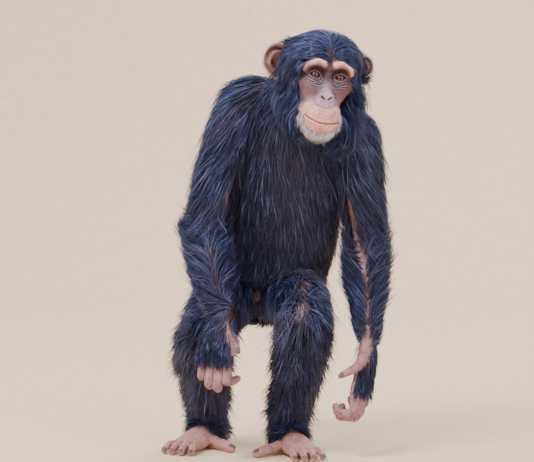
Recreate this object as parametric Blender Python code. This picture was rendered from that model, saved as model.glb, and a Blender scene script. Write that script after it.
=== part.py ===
"""A young chimpanzee standing upright on bent legs, life size, as a still museum model.

The animal faces -Y, with its own left side at +X, and stands on z = 0. Everything is in metres.
The body is a set of lofts and ellipsoids at the places of the real joints. A child piece, such as
a forearm, carves its socket in its parent with a hairline gap, so the two meet face to face.
Each hairy piece has a core that reaches part of the way through the coat, and flat tapered locks
that are rooted in the core and lie along the coat out to its full depth.
"""

import math

import bmesh
import bpy
import numpy as np
from mathutils import Matrix, Vector
from mathutils.bvhtree import BVHTree

MM = 0.001
GAP = 0.3 * MM
CORE_SHARE = 0.45

# Places of the joints
PELVIS = Vector((-0.034, 0.060, 0.294))
CROTCH = Vector((-0.036, 0.066, 0.268))
BELLY = Vector((-0.005, 0.032, 0.358))
WAIST = Vector((0.008, -0.004, 0.445))
CHEST = Vector((0.018, -0.034, 0.530))
UPPER_CHEST = Vector((0.027, -0.058, 0.592))
NECK_BASE = Vector((0.033, -0.070, 0.620))
SKULL_BASE = Vector((0.054, -0.116, 0.646))
BETWEEN_EYES = Vector((0.0762, -0.200, 0.676))

SHOULDER = {"right": Vector((-0.082, -0.058, 0.597)), "left": Vector((0.126, -0.072, 0.568))}
ELBOW = {"right": Vector((-0.138, -0.046, 0.402)), "left": Vector((0.149, -0.038, 0.384))}
WRIST = {"right": Vector((-0.107, -0.178, 0.240)), "left": Vector((0.151, -0.113, 0.200))}
HIP = {"right": Vector((-0.080, 0.050, 0.287)), "left": Vector((0.014, 0.048, 0.287))}
KNEE = {"right": Vector((-0.143, -0.104, 0.212)), "left": Vector((0.042, -0.132, 0.245))}
ANKLE = {"right": Vector((-0.134, 0.018, 0.050)), "left": Vector((0.010, -0.044, 0.050))}

SIGN = {"right": -1, "left": 1}

# Way that each foot points, turned out from straight ahead
TOE_OUT = {"right": math.radians(-22), "left": math.radians(14)}

# How the head is turned: towards its own left, tipped sideways, and lifted to the viewer
HEAD_YAW = math.radians(8)
HEAD_ROLL = math.radians(8)
HEAD_PITCH = math.radians(5)
HEAD_SIZE = 0.963
EYE_SPREAD = 23.0
EYE_RADIUS = 10.5

# How many segments and rings the head, the face and the eyes are drawn with
HEAD_MESH = (20, 12)
FACE_MESH = (30, 20)
FACE_CROWDING = 0.42
EYE_MESH = (10, 6)

# Locks: how far apart their roots are, their length and width, and how far the tips stand out
LOCKS = {
    "head": (0.039, 0.060, 0.038, 0.006),
    "chest": (0.060, 0.096, 0.056, 0.010),
    "upper_arm": (0.052, 0.090, 0.048, 0.010),
    "belly": (0.060, 0.088, 0.056, 0.010),
    "hips": (0.056, 0.066, 0.048, 0.009),
    "thigh": (0.056, 0.086, 0.050, 0.010),
    "shin": (0.046, 0.076, 0.042, 0.012),
    "forearm": (0.046, 0.075, 0.042, 0.011),
    "neck": (0.048, 0.060, 0.042, 0.008),
}
BEARD_LOCK = (0.023, 0.013)
ROOT_DEPTH = 0.0045
UNDERSIDE = 0.0034
LOCK_THICKNESS = 0.10
SEED = 12
ROOTS_TRIED = 14
ROOT_CLEARANCE = 0.005
LOWEST_ROOT = 0.030
LOWEST_LOCK = 0.004
CLEAR_OF_NEIGHBOURS = GAP * 1.3

# Ways to lay a lock beside a neighbour, tried in turn: share of its length, and how far it is lifted
TRIES = ((1.0, 0.0), (1.0, 0.005), (0.8, 0.0), (0.8, 0.006), (0.62, 0.002), (0.62, 0.007), (0.45, 0.003))


def clear_scene():
    for thing in list(bpy.data.objects):
        bpy.data.objects.remove(thing)


def link(thing):
    bpy.context.scene.collection.objects.link(thing)
    return thing


def object_from(name, shape):
    """An object that holds this bmesh, in triangles cut the same way each time, facing outwards."""
    bmesh.ops.recalc_face_normals(shape, faces=shape.faces)
    bmesh.ops.triangulate(shape, faces=shape.faces, quad_method="FIXED", ngon_method="EAR_CLIP")
    mesh = bpy.data.meshes.new(name)
    shape.to_mesh(mesh)
    shape.free()
    return link(bpy.data.objects.new(name, mesh))


def smooth_values(values, steps):
    """Catmull-Rom through the rows of values, with this many steps in each span."""
    rows = np.array(values, float)
    padded = np.vstack([2 * rows[0] - rows[1], rows, 2 * rows[-1] - rows[-2]])
    out = []
    for i in range(len(rows) - 1):
        a, b, c, d = padded[i : i + 4]
        for k in range(steps):
            t = k / steps
            out.append(
                0.5
                * (2 * b + (c - a) * t + (2 * a - 5 * b + 4 * c - d) * t**2
                   + (3 * b - a - 3 * c + d) * t**3)
            )
    out.append(rows[-1])
    return np.array(out)


def loft(name, stations, side, sides=14, steps=3, grow=0.0, round_ends=(True, True)):
    """A closed tube through stations of (point, half width, half depth); side is the width's way."""
    rows = smooth_values([[*point, width, depth] for point, width, depth in stations], steps)
    centres = rows[:, :3]
    along = np.gradient(centres, axis=0)
    along /= np.linalg.norm(along, axis=1)[:, None]
    rings = []
    for centre, tangent, width, depth in zip(centres, along, rows[:, 3], rows[:, 4]):
        across = np.array(side, float) - np.dot(side, tangent) * tangent
        across /= np.linalg.norm(across)
        rings.append([centre, tangent, across, np.cross(tangent, across), width + grow, depth + grow])
    cap_angles = [math.radians(a) for a in (32, 64)]

    def dome(ring, sign):
        """Rings that round off an end, from its rim towards its pole."""
        centre, tangent, across, deep, width, depth = ring
        height = min(width, depth)
        found = []
        for angle in cap_angles:
            shifted = centre + sign * tangent * height * math.sin(angle)
            found.append([shifted, tangent, across, deep, width * math.cos(angle), depth * math.cos(angle)])
        return found, centre + sign * tangent * height

    first_pole = centres[0] - along[0] * grow
    last_pole = centres[-1] + along[-1] * grow
    body = list(rings)
    if round_ends[0]:
        extra, first_pole = dome(rings[0], -1)
        body = extra[::-1] + body
    else:
        body[0] = [first_pole] + body[0][1:]
    if round_ends[1]:
        extra, last_pole = dome(rings[-1], 1)
        body = body + extra
    else:
        body[-1] = [last_pole] + body[-1][1:]
    shape = bmesh.new()
    made = []
    turns = [2 * math.pi * k / sides for k in range(sides)]
    for centre, _tangent, across, deep, width, depth in body:
        ring = [centre + across * width * math.cos(a) + deep * depth * math.sin(a) for a in turns]
        made.append([shape.verts.new(point) for point in ring])
    for ring, following in zip(made, made[1:]):
        for k in range(sides):
            j = (k + 1) % sides
            shape.faces.new((ring[k], ring[j], following[j], following[k]))
    for ring, pole in ((made[0], first_pole), (made[-1], last_pole)):
        tip = shape.verts.new(pole)
        for k in range(sides):
            shape.faces.new((ring[k], ring[(k + 1) % sides], tip))
    return object_from(name, shape)


def sphere(segments, rings):
    """A UV sphere of radius 1, with its faces in one fixed order, so that each build is the same."""
    rough = bmesh.new()
    bmesh.ops.create_uvsphere(rough, u_segments=segments, v_segments=rings, radius=1.0)
    rough.verts.index_update()
    faces = []
    for face in rough.faces:
        corners = [vert.index for vert in face.verts]
        first = corners.index(min(corners))
        faces.append(corners[first:] + corners[:first])
    shape = bmesh.new()
    verts = [shape.verts.new(vert.co) for vert in rough.verts]
    rough.free()
    for corners in sorted(faces):
        shape.faces.new([verts[index] for index in corners])
    return shape


def ellipsoid(name, centre, radii, turn=None, grow=0.0, segments=12, rings=8):
    """A UV sphere drawn out to three radii, then turned and placed."""
    shape = sphere(segments, rings)
    matrix = Matrix.Translation(centre) @ (turn or Matrix.Identity(4))
    matrix = matrix @ Matrix.Diagonal((*[r + grow for r in radii], 1.0))
    shape.transform(matrix)
    return object_from(name, shape)


def evaluated_mesh(thing):
    graph = bpy.context.evaluated_depsgraph_get()
    return bpy.data.meshes.new_from_object(thing.evaluated_get(graph))


def combine(target, operation, others):
    """One Boolean of target with all the others, applied, and the others removed."""
    if not others:
        return target
    group = bpy.data.collections.new("operands")
    bpy.context.scene.collection.children.link(group)
    for other in others:
        bpy.context.scene.collection.objects.unlink(other)
        group.objects.link(other)
    modifier = target.modifiers.new("combine", "BOOLEAN")
    modifier.operation = operation
    modifier.operand_type = "COLLECTION"
    modifier.collection = group
    modifier.solver = "MANIFOLD"
    bpy.context.view_layer.update()
    mesh = evaluated_mesh(target)
    target.modifiers.clear()
    target.data = mesh
    for other in others:
        bpy.data.objects.remove(other)
    bpy.data.collections.remove(group)
    return keep_largest(target)


def join(target, *others):
    return combine(target, "UNION", list(others))


def carve(target, *others):
    return combine(target, "DIFFERENCE", list(others))


def keep_largest(thing):
    """Deletes every closed surface but the largest, such as a loose scrap or a sealed hollow."""
    shape = bmesh.new()
    shape.from_mesh(thing.data)
    bmesh.ops.triangulate(shape, faces=shape.faces)
    unseen = set(shape.verts)
    islands = []
    while unseen:
        stack = [unseen.pop()]
        island = set(stack)
        while stack:
            for edge in stack.pop().link_edges:
                for vert in edge.verts:
                    if vert in unseen:
                        unseen.remove(vert)
                        island.add(vert)
                        stack.append(vert)
        islands.append(island)
    if len(islands) > 1:
        def volume(island):
            faces = {face for vert in island for face in vert.link_faces}
            return abs(sum(f.verts[0].co.dot(f.verts[1].co.cross(f.verts[2].co)) for f in faces))

        largest = max(islands, key=volume)
        loose = [vert for island in islands if island is not largest for vert in island]
        bmesh.ops.delete(shape, geom=loose, context="VERTS")
    shape.to_mesh(thing.data)
    shape.free()
    return thing


def slice_off(thing, point, outward):
    """Cuts away what lies beyond point in the outward direction, and closes the cut flat."""
    shape = bmesh.new()
    shape.from_mesh(thing.data)
    everything = shape.verts[:] + shape.edges[:] + shape.faces[:]
    cut = bmesh.ops.bisect_plane(
        shape, geom=everything, dist=1e-7, plane_co=point, plane_no=outward, clear_outer=True
    )
    rim = [g for g in cut["geom_cut"] if isinstance(g, bmesh.types.BMEdge)]
    if rim:
        bmesh.ops.holes_fill(shape, edges=rim)
    bmesh.ops.triangulate(shape, faces=shape.faces)
    bmesh.ops.recalc_face_normals(shape, faces=shape.faces)
    shape.to_mesh(thing.data)
    shape.free()
    return thing


def stand_on_floor(thing):
    """Cuts a piece off level, which leaves the small flats that the feet stand on."""
    return slice_off(thing, Vector((0, 0, 0)), Vector((0, 0, -1)))


# Limb segments: joint at each end, then skin radii and coat depths from one end to the other
ARM_SKIN = (0.033, 0.029, 0.023)
ARM_COAT = (0.015, 0.016, 0.014)
FOREARM_SKIN = (0.026, 0.026, 0.021, 0.0165)
FOREARM_COAT = (0.018, 0.018, 0.014, 0.007)
THIGH_SKIN = (0.050, 0.044, 0.031)
THIGH_COAT = (0.017, 0.018, 0.012)
SHIN_SKIN = (0.034, 0.034, 0.027, 0.021)
SHIN_COAT = (0.016, 0.020, 0.021, 0.017)


def limb_stations(start, end, skin, coat, bow):
    """Stations from start to end, with the middle pushed out by bow, at the share of the coat."""
    found = []
    for k, (radius, depth) in enumerate(zip(skin, coat)):
        t = k / (len(skin) - 1)
        point = start.lerp(end, t) + bow * 4 * t * (1 - t)
        found.append((point, radius + CORE_SHARE * depth, radius + CORE_SHARE * depth))
    return found


def limb(name, kind, which, grow=0.0, sides=11):
    """One limb segment by its kind: upper_arm, forearm, thigh or shin."""
    ends, skin, coat, bow = {
        "upper_arm": ((SHOULDER, ELBOW), ARM_SKIN, ARM_COAT, Vector((0, 0.004, 0))),
        "forearm": ((ELBOW, WRIST), FOREARM_SKIN, FOREARM_COAT, Vector((0, -0.004, 0))),
        "thigh": ((HIP, KNEE), THIGH_SKIN, THIGH_COAT, Vector((0, 0, 0.006))),
        "shin": ((KNEE, ANKLE), SHIN_SKIN, SHIN_COAT, Vector((0, 0.006, 0))),
    }[kind]
    stations = limb_stations(ends[0][which], ends[1][which], skin, coat, bow)
    return loft(name, stations, (1, 0, 0), sides=sides, steps=2, grow=grow)


def thigh_part(which):
    """One thigh, cut off straight where it presses on the other."""
    thigh = limb("thigh_" + which, "thigh", which)
    middle = (HIP["right"] + HIP["left"]) / 2
    inward = Vector((-SIGN[which], 0, 0))
    return slice_off(thigh, middle - inward * GAP / 2, inward)


# The trunk, from the crotch to the base of the neck: middle, half width, half depth, coat
TRUNK = (
    (CROTCH, 0.060, 0.048, 0.012),
    (PELVIS, 0.079, 0.060, 0.014),
    (BELLY, 0.087, 0.071, 0.013),
    (WAIST, 0.084, 0.071, 0.013),
    (CHEST, 0.084, 0.074, 0.014),
    (UPPER_CHEST, 0.076, 0.066, 0.016),
    (NECK_BASE, 0.056, 0.052, 0.016),
)


def trunk_part(name, bottom, top):
    """The trunk between two of its stations, which are None at its own ends, with a gap at a cut."""
    stations = [(p, w + CORE_SHARE * c, d + CORE_SHARE * c) for p, w, d, c in TRUNK]
    part = loft(name, stations, (1, 0, 0), sides=14, steps=2)
    lie = (WAIST - PELVIS).normalized()
    if bottom is not None:
        slice_off(part, bottom + lie * GAP / 2, -lie)
    if top is not None:
        slice_off(part, top - lie * GAP / 2, lie)
    return part


def shoulder_girdle(name):
    """The band of muscle over the shoulder blades, from one shoulder to the other."""
    coat = CORE_SHARE * 0.016
    stations = [
        (SHOULDER["right"] + Vector((0.010, 0.014, 0.002)), 0.038 + coat, 0.034 + coat),
        (Vector((-0.036, -0.036, 0.606)), 0.054 + coat, 0.038 + coat),
        (Vector((0.030, -0.040, 0.602)), 0.054 + coat, 0.040 + coat),
        (Vector((0.080, -0.050, 0.584)), 0.048 + coat, 0.037 + coat),
        (SHOULDER["left"] + Vector((-0.010, 0.014, 0.002)), 0.037 + coat, 0.033 + coat),
    ]
    return loft(name, stations, (0, 0, 1), sides=12, steps=1)


def neck_part(name, grow=0.0):
    coat = CORE_SHARE * 0.014
    stations = [
        (NECK_BASE - Vector((0.006, -0.006, 0.020)), 0.046 + coat, 0.046 + coat),
        (NECK_BASE.lerp(SKULL_BASE, 0.5) + Vector((0, 0.012, 0.005)), 0.044 + coat, 0.048 + coat),
        (SKULL_BASE + Vector((0, 0.004, 0)), 0.042 + coat, 0.046 + coat),
    ]
    return loft(name, stations, (1, 0, 0), sides=12, steps=2, grow=grow)


# The head, in millimetres that HEAD_SIZE brings to life, in its own frame: x to the animal's left,
# y backwards, z up, with the origin midway between the eyes.
def head_matrix():
    turn = Matrix.Rotation(HEAD_YAW, 4, "Z") @ Matrix.Rotation(HEAD_ROLL, 4, "Y")
    turn = turn @ Matrix.Rotation(-HEAD_PITCH, 4, "X")
    return Matrix.Translation(BETWEEN_EYES) @ turn @ Matrix.Scale(HEAD_SIZE * MM, 4)


def ball(p, centre, radii):
    """Distance to an ellipsoid, near enough for blending."""
    q = p - np.array(centre, float)
    radii = np.array(radii, float)
    inner = np.linalg.norm(q / radii, axis=1)
    outer = np.linalg.norm(q / radii**2, axis=1)
    return inner * (inner - 1) / np.maximum(outer, 1e-6)


def rod(p, start, end, start_radius, end_radius):
    """Distance to a round rod whose radius changes from one end to the other."""
    a, b = np.array(start, float), np.array(end, float)
    t = np.clip(((p - a) @ (b - a)) / ((b - a) @ (b - a)), 0, 1)
    radius = start_radius + (end_radius - start_radius) * t
    return np.linalg.norm(p - a - t[:, None] * (b - a), axis=1) - radius


def blend(a, b, k):
    """Smooth union of two distances, with a fillet of about k."""
    h = np.clip(0.5 + 0.5 * (b - a) / k, 0, 1)
    return b + (a - b) * h - k * h * (1 - h)


def hollow(a, b, k):
    """Smooth removal of b from a."""
    h = np.clip(0.5 - 0.5 * (a + b) / k, 0, 1)
    return a + (-b - a) * h + k * h * (1 - h)


def skull_distance(p):
    """Distance to the skin of the head, ears apart, in the head's own millimetres."""
    q = np.column_stack([np.abs(p[:, 0]), p[:, 1], p[:, 2]])
    d = ball(q, (0, 62, 26), (63, 72, 51))
    d = blend(d, rod(q, (36, 10, 8), (51, 34, 0), 9, 11), 10)
    d = blend(d, ball(q, (0, 8, -22), (43, 27, 40)), 14)
    d = blend(d, rod(q, (22, -8, -21), (45, 12, -14), 11, 10), 10)
    d = blend(d, ball(q, (0, -16, -70), (35, 43, 30)), 12)
    d = blend(d, ball(q, (0, -2, -86), (33, 44, 25)), 12)
    d = blend(d, rod(q, (30, 14, -82), (46, 58, -36), 20, 20), 16)
    d = blend(d, rod(q, (0, -4, -6), (0, -32, -36), 8, 11), 12)
    d = blend(d, ball(q, (0, -38, -40), (12, 9, 9)), 7)
    d = blend(d, ball(q, (9, -37, -43), (7, 8, 7)), 5)
    inner_brow = rod(q, (4, -11, 15), (21, -14, 20), 7.5, 8.5)
    outer_brow = rod(q, (21, -14, 20), (43, -4, 12), 8.5, 8)
    d = blend(d, np.minimum(inner_brow, outer_brow), 8)
    d = hollow(d, ball(q, (EYE_SPREAD, -16, 1), (15, 12, 11)), 7)
    d = blend(d, ball(q, (EYE_SPREAD, 0, 0), (12.5, 12.5, 12.5)), 3)
    return d


def coat_on_head(p):
    """Depth of the coat on the head: short by the face, long on the cheeks and the nape."""
    crown = 13.0
    cheek = 11.0 * np.clip((26 - p[:, 2]) / 40, 0, 1) * np.clip((np.abs(p[:, 0]) - 20) / 25, 0, 1)
    nape = 6.0 * np.clip((p[:, 1] - 70) / 50, 0, 1)
    behind_face = np.clip((p[:, 1] + 14) / 42, 0, 1)
    return 2.5 + (crown - 2.5 + cheek + nape) * behind_face * (2 - behind_face)


def head_shape(name, longitudes, latitudes, coat_share=0.0, grow=0.0, front=0.0):
    """A sphere with its poles at the ears, drawn in along its rays to the distance above.

    front packs more of its rows into the face.
    """
    shape = sphere(longitudes, latitudes)
    rays = np.array([vert.co for vert in shape.verts])
    # The sphere's pole turns from z to x, and each point slides round towards the face
    angle = np.arctan2(rays[:, 1], rays[:, 0])
    angle = angle - front * np.sin(angle)
    girth = np.hypot(rays[:, 0], rays[:, 1])
    rays = np.column_stack([rays[:, 2], -girth * np.cos(angle), girth * np.sin(angle)])
    rays /= np.linalg.norm(rays, axis=1)[:, None]
    middle = np.array([0.0, 14.0, -18.0])

    def reach_for(distance):
        """How far along each ray the distance to the skin falls to this."""
        reach = np.full(len(rays), 190.0)
        for _ in range(90):
            reach -= 0.6 * (skull_distance(middle + rays * reach[:, None]) - distance)
        return middle + rays * reach[:, None]

    skin = reach_for(0.0)
    points = reach_for(coat_share * coat_on_head(skin) + grow / MM) if coat_share or grow else skin
    for vert, point in zip(shape.verts, points):
        vert.co = point
    shape.transform(head_matrix())
    return object_from(name, shape)


# Outline of the bare face, seen from the front: half width at each height, from the brow to the chin
FACE_OUTLINE = (
    (0, 26), (12, 30), (24, 31), (35, 28), (43, 20), (48, 4), (47, -18),
    (41, -40), (37, -62), (36, -84), (26, -105), (12, -114), (0, -117),
)
FACE_BACK = 38.0
FACE_FRONT = -95.0


def face_prism(name, grow=0.0):
    """The block of space that holds the bare face, straight through from front to back."""
    half = FACE_OUTLINE
    outline = [(x, z) for x, z in half] + [(-x, z) for x, z in half[-2:0:-1]]
    extra = grow / MM
    shape = bmesh.new()
    rings = []
    for y in (FACE_FRONT - extra, FACE_BACK + extra):
        ring = []
        for x, z in outline:
            out = Vector((x, z + 42)).normalized() * extra
            ring.append(shape.verts.new((x + out.x, y, z + out.y)))
        rings.append(ring)
        shape.faces.new(ring)
    count = len(outline)
    for k in range(count):
        j = (k + 1) % count
        shape.faces.new((rings[0][k], rings[0][j], rings[1][j], rings[1][k]))
    bmesh.ops.triangulate(shape, faces=shape.faces)
    shape.transform(head_matrix())
    return object_from(name, shape)


def on_face(x, z, lift=0.0):
    """The point on the skin of the face straight behind (x, z), lifted forwards by lift."""
    y = -110.0
    for _ in range(80):
        y += 0.6 * skull_distance(np.array([[x, y, z]]))[0]
    return (x, y - lift, z)


def face_tube(name, points, radius, sides=4, lift=0.0):
    """A tube that lies on the face through points of (x, z), thinning to its ends."""
    path = smooth_values([on_face(x, z, lift) for x, z in points], 2)
    matrix = head_matrix()
    count = len(path)
    stations = []
    for k, point in enumerate(path):
        size = radius * MM * (0.35 + 0.65 * math.sin(math.pi * k / (count - 1)))
        stations.append((matrix @ Vector(point), size, size))
    return loft(name, stations, (0, 1, 0.01), sides=sides, steps=1, round_ends=(False, False))


def mouth_height(x):
    """Height of the line of the mouth, whose corners turn up."""
    return -84.0 + 13.0 * (x / 33.0) ** 2


def mouth_points(drop=0.0, reach=33.0):
    return [(x, mouth_height(x) + drop) for x in np.linspace(-reach, reach, 6)]


def eye_centre(sign, forward=0.0):
    return head_matrix() @ Vector((sign * EYE_SPREAD, -forward, 0))


def head_turn():
    return head_matrix().to_quaternion().to_matrix().to_4x4()


def eye_opening(name, sign):
    """The almond of space between the lids, with its outer corner a little raised."""
    centre = eye_centre(sign, forward=EYE_RADIUS)
    turn = head_turn() @ Matrix.Rotation(math.radians(-6 * sign), 4, "Y")
    return ellipsoid(name, centre, (9.6 * MM, 9.0 * MM, 5.6 * MM), turn, segments=8, rings=6)


def lids(name, sign):
    """The rims of the upper and the lower lid, as one arc each over the eyeball."""
    made = []
    for rise, label in ((6.2, "upper"), (-5.6, "lower")):
        points = []
        for t in np.linspace(-1, 1, 4):
            x = sign * EYE_SPREAD + 11.0 * t
            z = rise * (1 - t * t) + 1.0 * t * sign
            points.append((x, z))
        made.append(face_tube(name + "_" + label, points, 2.0, lift=-0.6))
    return made


def face_part():
    face = head_shape("face", *FACE_MESH, front=FACE_CROWDING)
    prism = face_prism("prism")
    face = combine(face, "INTERSECT", [prism])
    join(
        face,
        face_tube("upper_lip", mouth_points(2.6, 31), 2.6),
        face_tube("lower_lip", mouth_points(-3.0, 28), 3.2),
        *lids("lids_left", 1),
        *lids("lids_right", -1),
    )
    carve(face, face_tube("mouth_line", mouth_points(0.0, 34), 1.3, sides=3, lift=1.2))
    for sign in (-1, 1):
        nostril = head_matrix() @ Vector((sign * 6.5, -45.5, -41.5))
        turn = head_turn() @ Matrix.Rotation(math.radians(25 * sign), 4, "Y")
        carve(face, ellipsoid("nostril", nostril, (3.4 * MM, 6 * MM, 2.2 * MM), turn, segments=8, rings=5))
        carve(
            face,
            ellipsoid("socket", eye_centre(sign), [EYE_RADIUS * MM] * 3, None, GAP, *EYE_MESH),
            eye_opening("opening", sign),
        )
    carve(face, beard_band("band", grow=GAP))
    return face


# The beard runs under the jaw from one corner of the mouth to the other
BEARD_PATH = (
    (-35, -66), (-36, -79), (-31, -93), (-21, -104), (-7, -109),
    (7, -109), (21, -104), (31, -93), (36, -79), (35, -66),
)


def beard_points():
    return [on_face(x, z, -1.0) for x, z in BEARD_PATH]


def beard_band(name, grow=0.0):
    matrix = head_matrix()
    points = beard_points()
    count = len(points)
    stations = []
    for k, point in enumerate(points):
        size = 4.2 * MM * (0.45 + 0.55 * math.sin(math.pi * k / (count - 1)))
        stations.append((matrix @ Vector(point), size, size))
    return loft(name, stations, (0, 1, 0.01), sides=6, steps=1, grow=grow)


def ear_part(name, sign, spread, grow=0.0, cupped=True):
    """A cupped ear: a flat ellipsoid with a bowl in its front, and a notch towards its root."""
    matrix = head_matrix()
    centre = matrix @ Vector((sign * (58 + spread / 2), 66, 17))
    turn = head_turn() @ Matrix.Rotation(math.radians(-18 * sign), 4, "Z")
    turn = turn @ Matrix.Rotation(math.radians(10 * sign), 4, "Y")
    size = (spread * 0.62 * MM, 7 * MM, 34 * MM)
    ear = ellipsoid(name, centre, size, turn, grow, 12, 7)
    if cupped:
        inner = turn.to_3x3()
        bowl_place = centre + inner @ Vector((0, -6.0 * MM, 2.5 * MM))
        bowl_size = (spread * 0.50 * MM, 8 * MM, 28 * MM)
        concha_place = centre + inner @ Vector((sign * 3 * MM, -2.5 * MM, -3 * MM))
        concha_size = (spread * 0.26 * MM, 6 * MM, 12 * MM)
        bowl = ellipsoid(name + "_bowl", bowl_place, bowl_size, turn, 0, 9, 5)
        concha = ellipsoid(name + "_concha", concha_place, concha_size, turn, 0, 6, 5)
        carve(ear, bowl, concha)
    return ear


EAR_SPREAD = {"right": 42, "left": 30}

# Lengths of the three bones of each finger, and its radius in millimetres
FINGERS = {
    "index": ((0.037, 0.028, 0.018), 7.4),
    "middle": ((0.044, 0.031, 0.020), 7.6),
    "ring": ((0.041, 0.030, 0.019), 7.4),
    "little": ((0.031, 0.024, 0.016), 6.4),
}

# Each hand hangs half closed: its first and last knuckle, then the way that each bone points.
# The right one has its back to the front, and the left one has its palm turned to the thigh.
HANDS = {
    "right": {
        "knuckles": (Vector((-0.092, -0.200, 0.184)), Vector((-0.138, -0.195, 0.187))),
        "bones": (Vector((-0.10, -0.24, -0.97)), Vector((0.06, 0.96, -0.26)), Vector((0.15, 0.70, 0.70))),
        "thumb": ((-0.093, -0.176, 0.231), (-0.084, -0.182, 0.216), (-0.078, -0.187, 0.197)),
    },
    "left": {
        "knuckles": (Vector((0.129, -0.146, 0.120)), Vector((0.149, -0.100, 0.122))),
        "bones": (Vector((-0.08, -0.13, -0.97)), Vector((-0.99, 0.12, 0.03)), Vector((-0.16, 0, 0.98))),
        "thumb": ((0.142, -0.136, 0.182), (0.129, -0.154, 0.165), (0.101, -0.160, 0.151)),
    },
}
# The right forefinger curls in less than the others, so that its tip shows beside them
FOREFINGER_BONES = (Vector((-0.08, -0.24, -0.97)), Vector((0.40, 0.90, -0.10)), Vector((0.55, 0.70, 0.28)))


def finger_joints(which, label):
    """Knuckle, middle joint, end joint and tip of a finger."""
    first, last = HANDS[which]["knuckles"]
    share = list(FINGERS).index(label) / 3
    bones = HANDS[which]["bones"]
    if which == "right" and label == "index":
        bones = FOREFINGER_BONES
    joints = [first.lerp(last, share) + bones[0] * 0.012 * share * (1 - share)]
    for length, way in zip(FINGERS[label][0], bones):
        joints.append(joints[-1] + way.normalized() * length)
    return joints


def finger(name, which, label, grow=0.0):
    """A finger through its joints, a little thicker at each of them."""
    radius = FINGERS[label][1] * MM
    root, middle, end, tip = finger_joints(which, label)
    back = (root - middle).normalized()
    across = (middle - root).cross(end - middle)
    stations = [
        (root + back * 0.006, radius * 0.95, radius * 0.95),
        (root.lerp(middle, 0.45), radius * 0.92, radius * 0.92),
        (middle.lerp(root, 0.10), radius, radius),
        (middle.lerp(end, 0.25), radius * 0.95, radius * 0.95),
        (end.lerp(tip, 0.10), radius * 0.88, radius * 0.88),
        (end.lerp(tip, 0.72), radius * 0.72, radius * 0.72),
    ]
    return loft(name, stations, across, sides=7, steps=1, grow=grow, round_ends=(False, True))


def thumb(name, which, grow=0.0):
    root, middle, tip = [Vector(joint) for joint in HANDS[which]["thumb"]]
    stations = [
        (root, 8.2 * MM, 8.2 * MM),
        (root.lerp(middle, 0.6), 7.6 * MM, 7.6 * MM),
        (middle.lerp(tip, 0.1), 7.4 * MM, 7.4 * MM),
        (middle.lerp(tip, 0.6), 6.6 * MM, 6.4 * MM),
        (tip, 4.8 * MM, 4.4 * MM),
    ]
    return loft(name, stations, (0, 0.3, 1), sides=7, steps=1, grow=grow, round_ends=(False, True))


def palm(name, which, grow=0.0):
    """The flat of the hand, from the wrist to the knuckles, with a thin coat on its back."""
    first, last = HANDS[which]["knuckles"]
    row = (first - last).normalized()
    middle = (first + last) / 2
    wrist = WRIST[which]
    way = (wrist - middle).normalized()
    coat = CORE_SHARE * 4 * MM
    stations = [
        (wrist + way * 0.004, 0.0165 + coat, 0.0135 + coat),
        (wrist.lerp(middle, 0.40), 0.0255 + coat, 0.0140 + coat),
        (wrist.lerp(middle, 0.80), 0.0330, 0.0130 + coat * 0.6),
        (middle - way * 0.001, 0.0325, 0.0105),
    ]
    return loft(name, stations, row, sides=10, steps=1, grow=grow, round_ends=(False, True))


# Feet: a heel, an arch and a ball, four toes in front and the great toe set off like a thumb
def foot_axes(which):
    ahead = Vector((math.sin(TOE_OUT[which]), -math.cos(TOE_OUT[which]), 0))
    outer = Vector((-ahead.y, ahead.x, 0)) * SIGN[which]
    return ahead, outer


def sole_point(which, forward, outward, height):
    ahead, outer = foot_axes(which)
    place = ANKLE[which] + ahead * forward + outer * outward
    return Vector((place.x, place.y, height))


def foot_body(name, which, grow=0.0):
    _, outer = foot_axes(which)
    sole = [
        (sole_point(which, -0.030, 0.000, 0.0170), 0.0185, 0.0190),
        (sole_point(which, -0.004, 0.001, 0.0225), 0.0225, 0.0245),
        (sole_point(which, 0.030, 0.003, 0.0190), 0.0265, 0.0210),
        (sole_point(which, 0.062, 0.006, 0.0130), 0.0305, 0.0150),
        (sole_point(which, 0.084, 0.008, 0.0105), 0.0300, 0.0120),
    ]
    body = loft(name, sole, outer, sides=10, steps=1, grow=grow)
    leg = [
        (ANKLE[which] + Vector((0, 0, 0.006)), 0.021, 0.022),
        (sole_point(which, 0.004, 0, 0.026), 0.022, 0.024),
    ]
    ankle = loft(name + "_ankle", leg, outer, 9, 1, grow, round_ends=(False, True))
    return join(body, ankle)


# How far out from the middle of the ball each toe starts, and how long it is
TOES = {
    "second": (-0.0225, 0.052),
    "third": (-0.0080, 0.056),
    "fourth": (0.0063, 0.053),
    "fifth": (0.0203, 0.045),
}


def toe(name, which, outward, length, grow=0.0):
    """A toe that arches up from the ball of the foot and comes down on its tip."""
    start = 0.080
    spread = outward * 0.25
    points = [
        (start, outward, 0.0125, 6.6),
        (start + length * 0.40, outward + spread * 0.5, 0.0145, 6.8),
        (start + length * 0.72, outward + spread * 0.9, 0.0115, 6.6),
        (start + length * 0.90, outward + spread, 0.0054, 6.2),
    ]
    stations = [
        (sole_point(which, f, 0.008 + o, h), r * MM, r * MM) for f, o, h, r in points
    ]
    _, outer = foot_axes(which)
    return loft(name, stations, outer, sides=6, steps=1, grow=grow, round_ends=(False, True))


def great_toe(name, which, grow=0.0):
    points = [
        (0.028, -0.016, 0.0150, 11.5),
        (0.043, -0.036, 0.0125, 10.5),
        (0.056, -0.056, 0.0115, 9.6),
        (0.064, -0.073, 0.0068, 8.2),
    ]
    stations = [(sole_point(which, f, o, h), r * MM, r * MM) for f, o, h, r in points]
    return loft(name, stations, (0, 0, 1), sides=7, steps=1, grow=grow, round_ends=(False, True))


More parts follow.
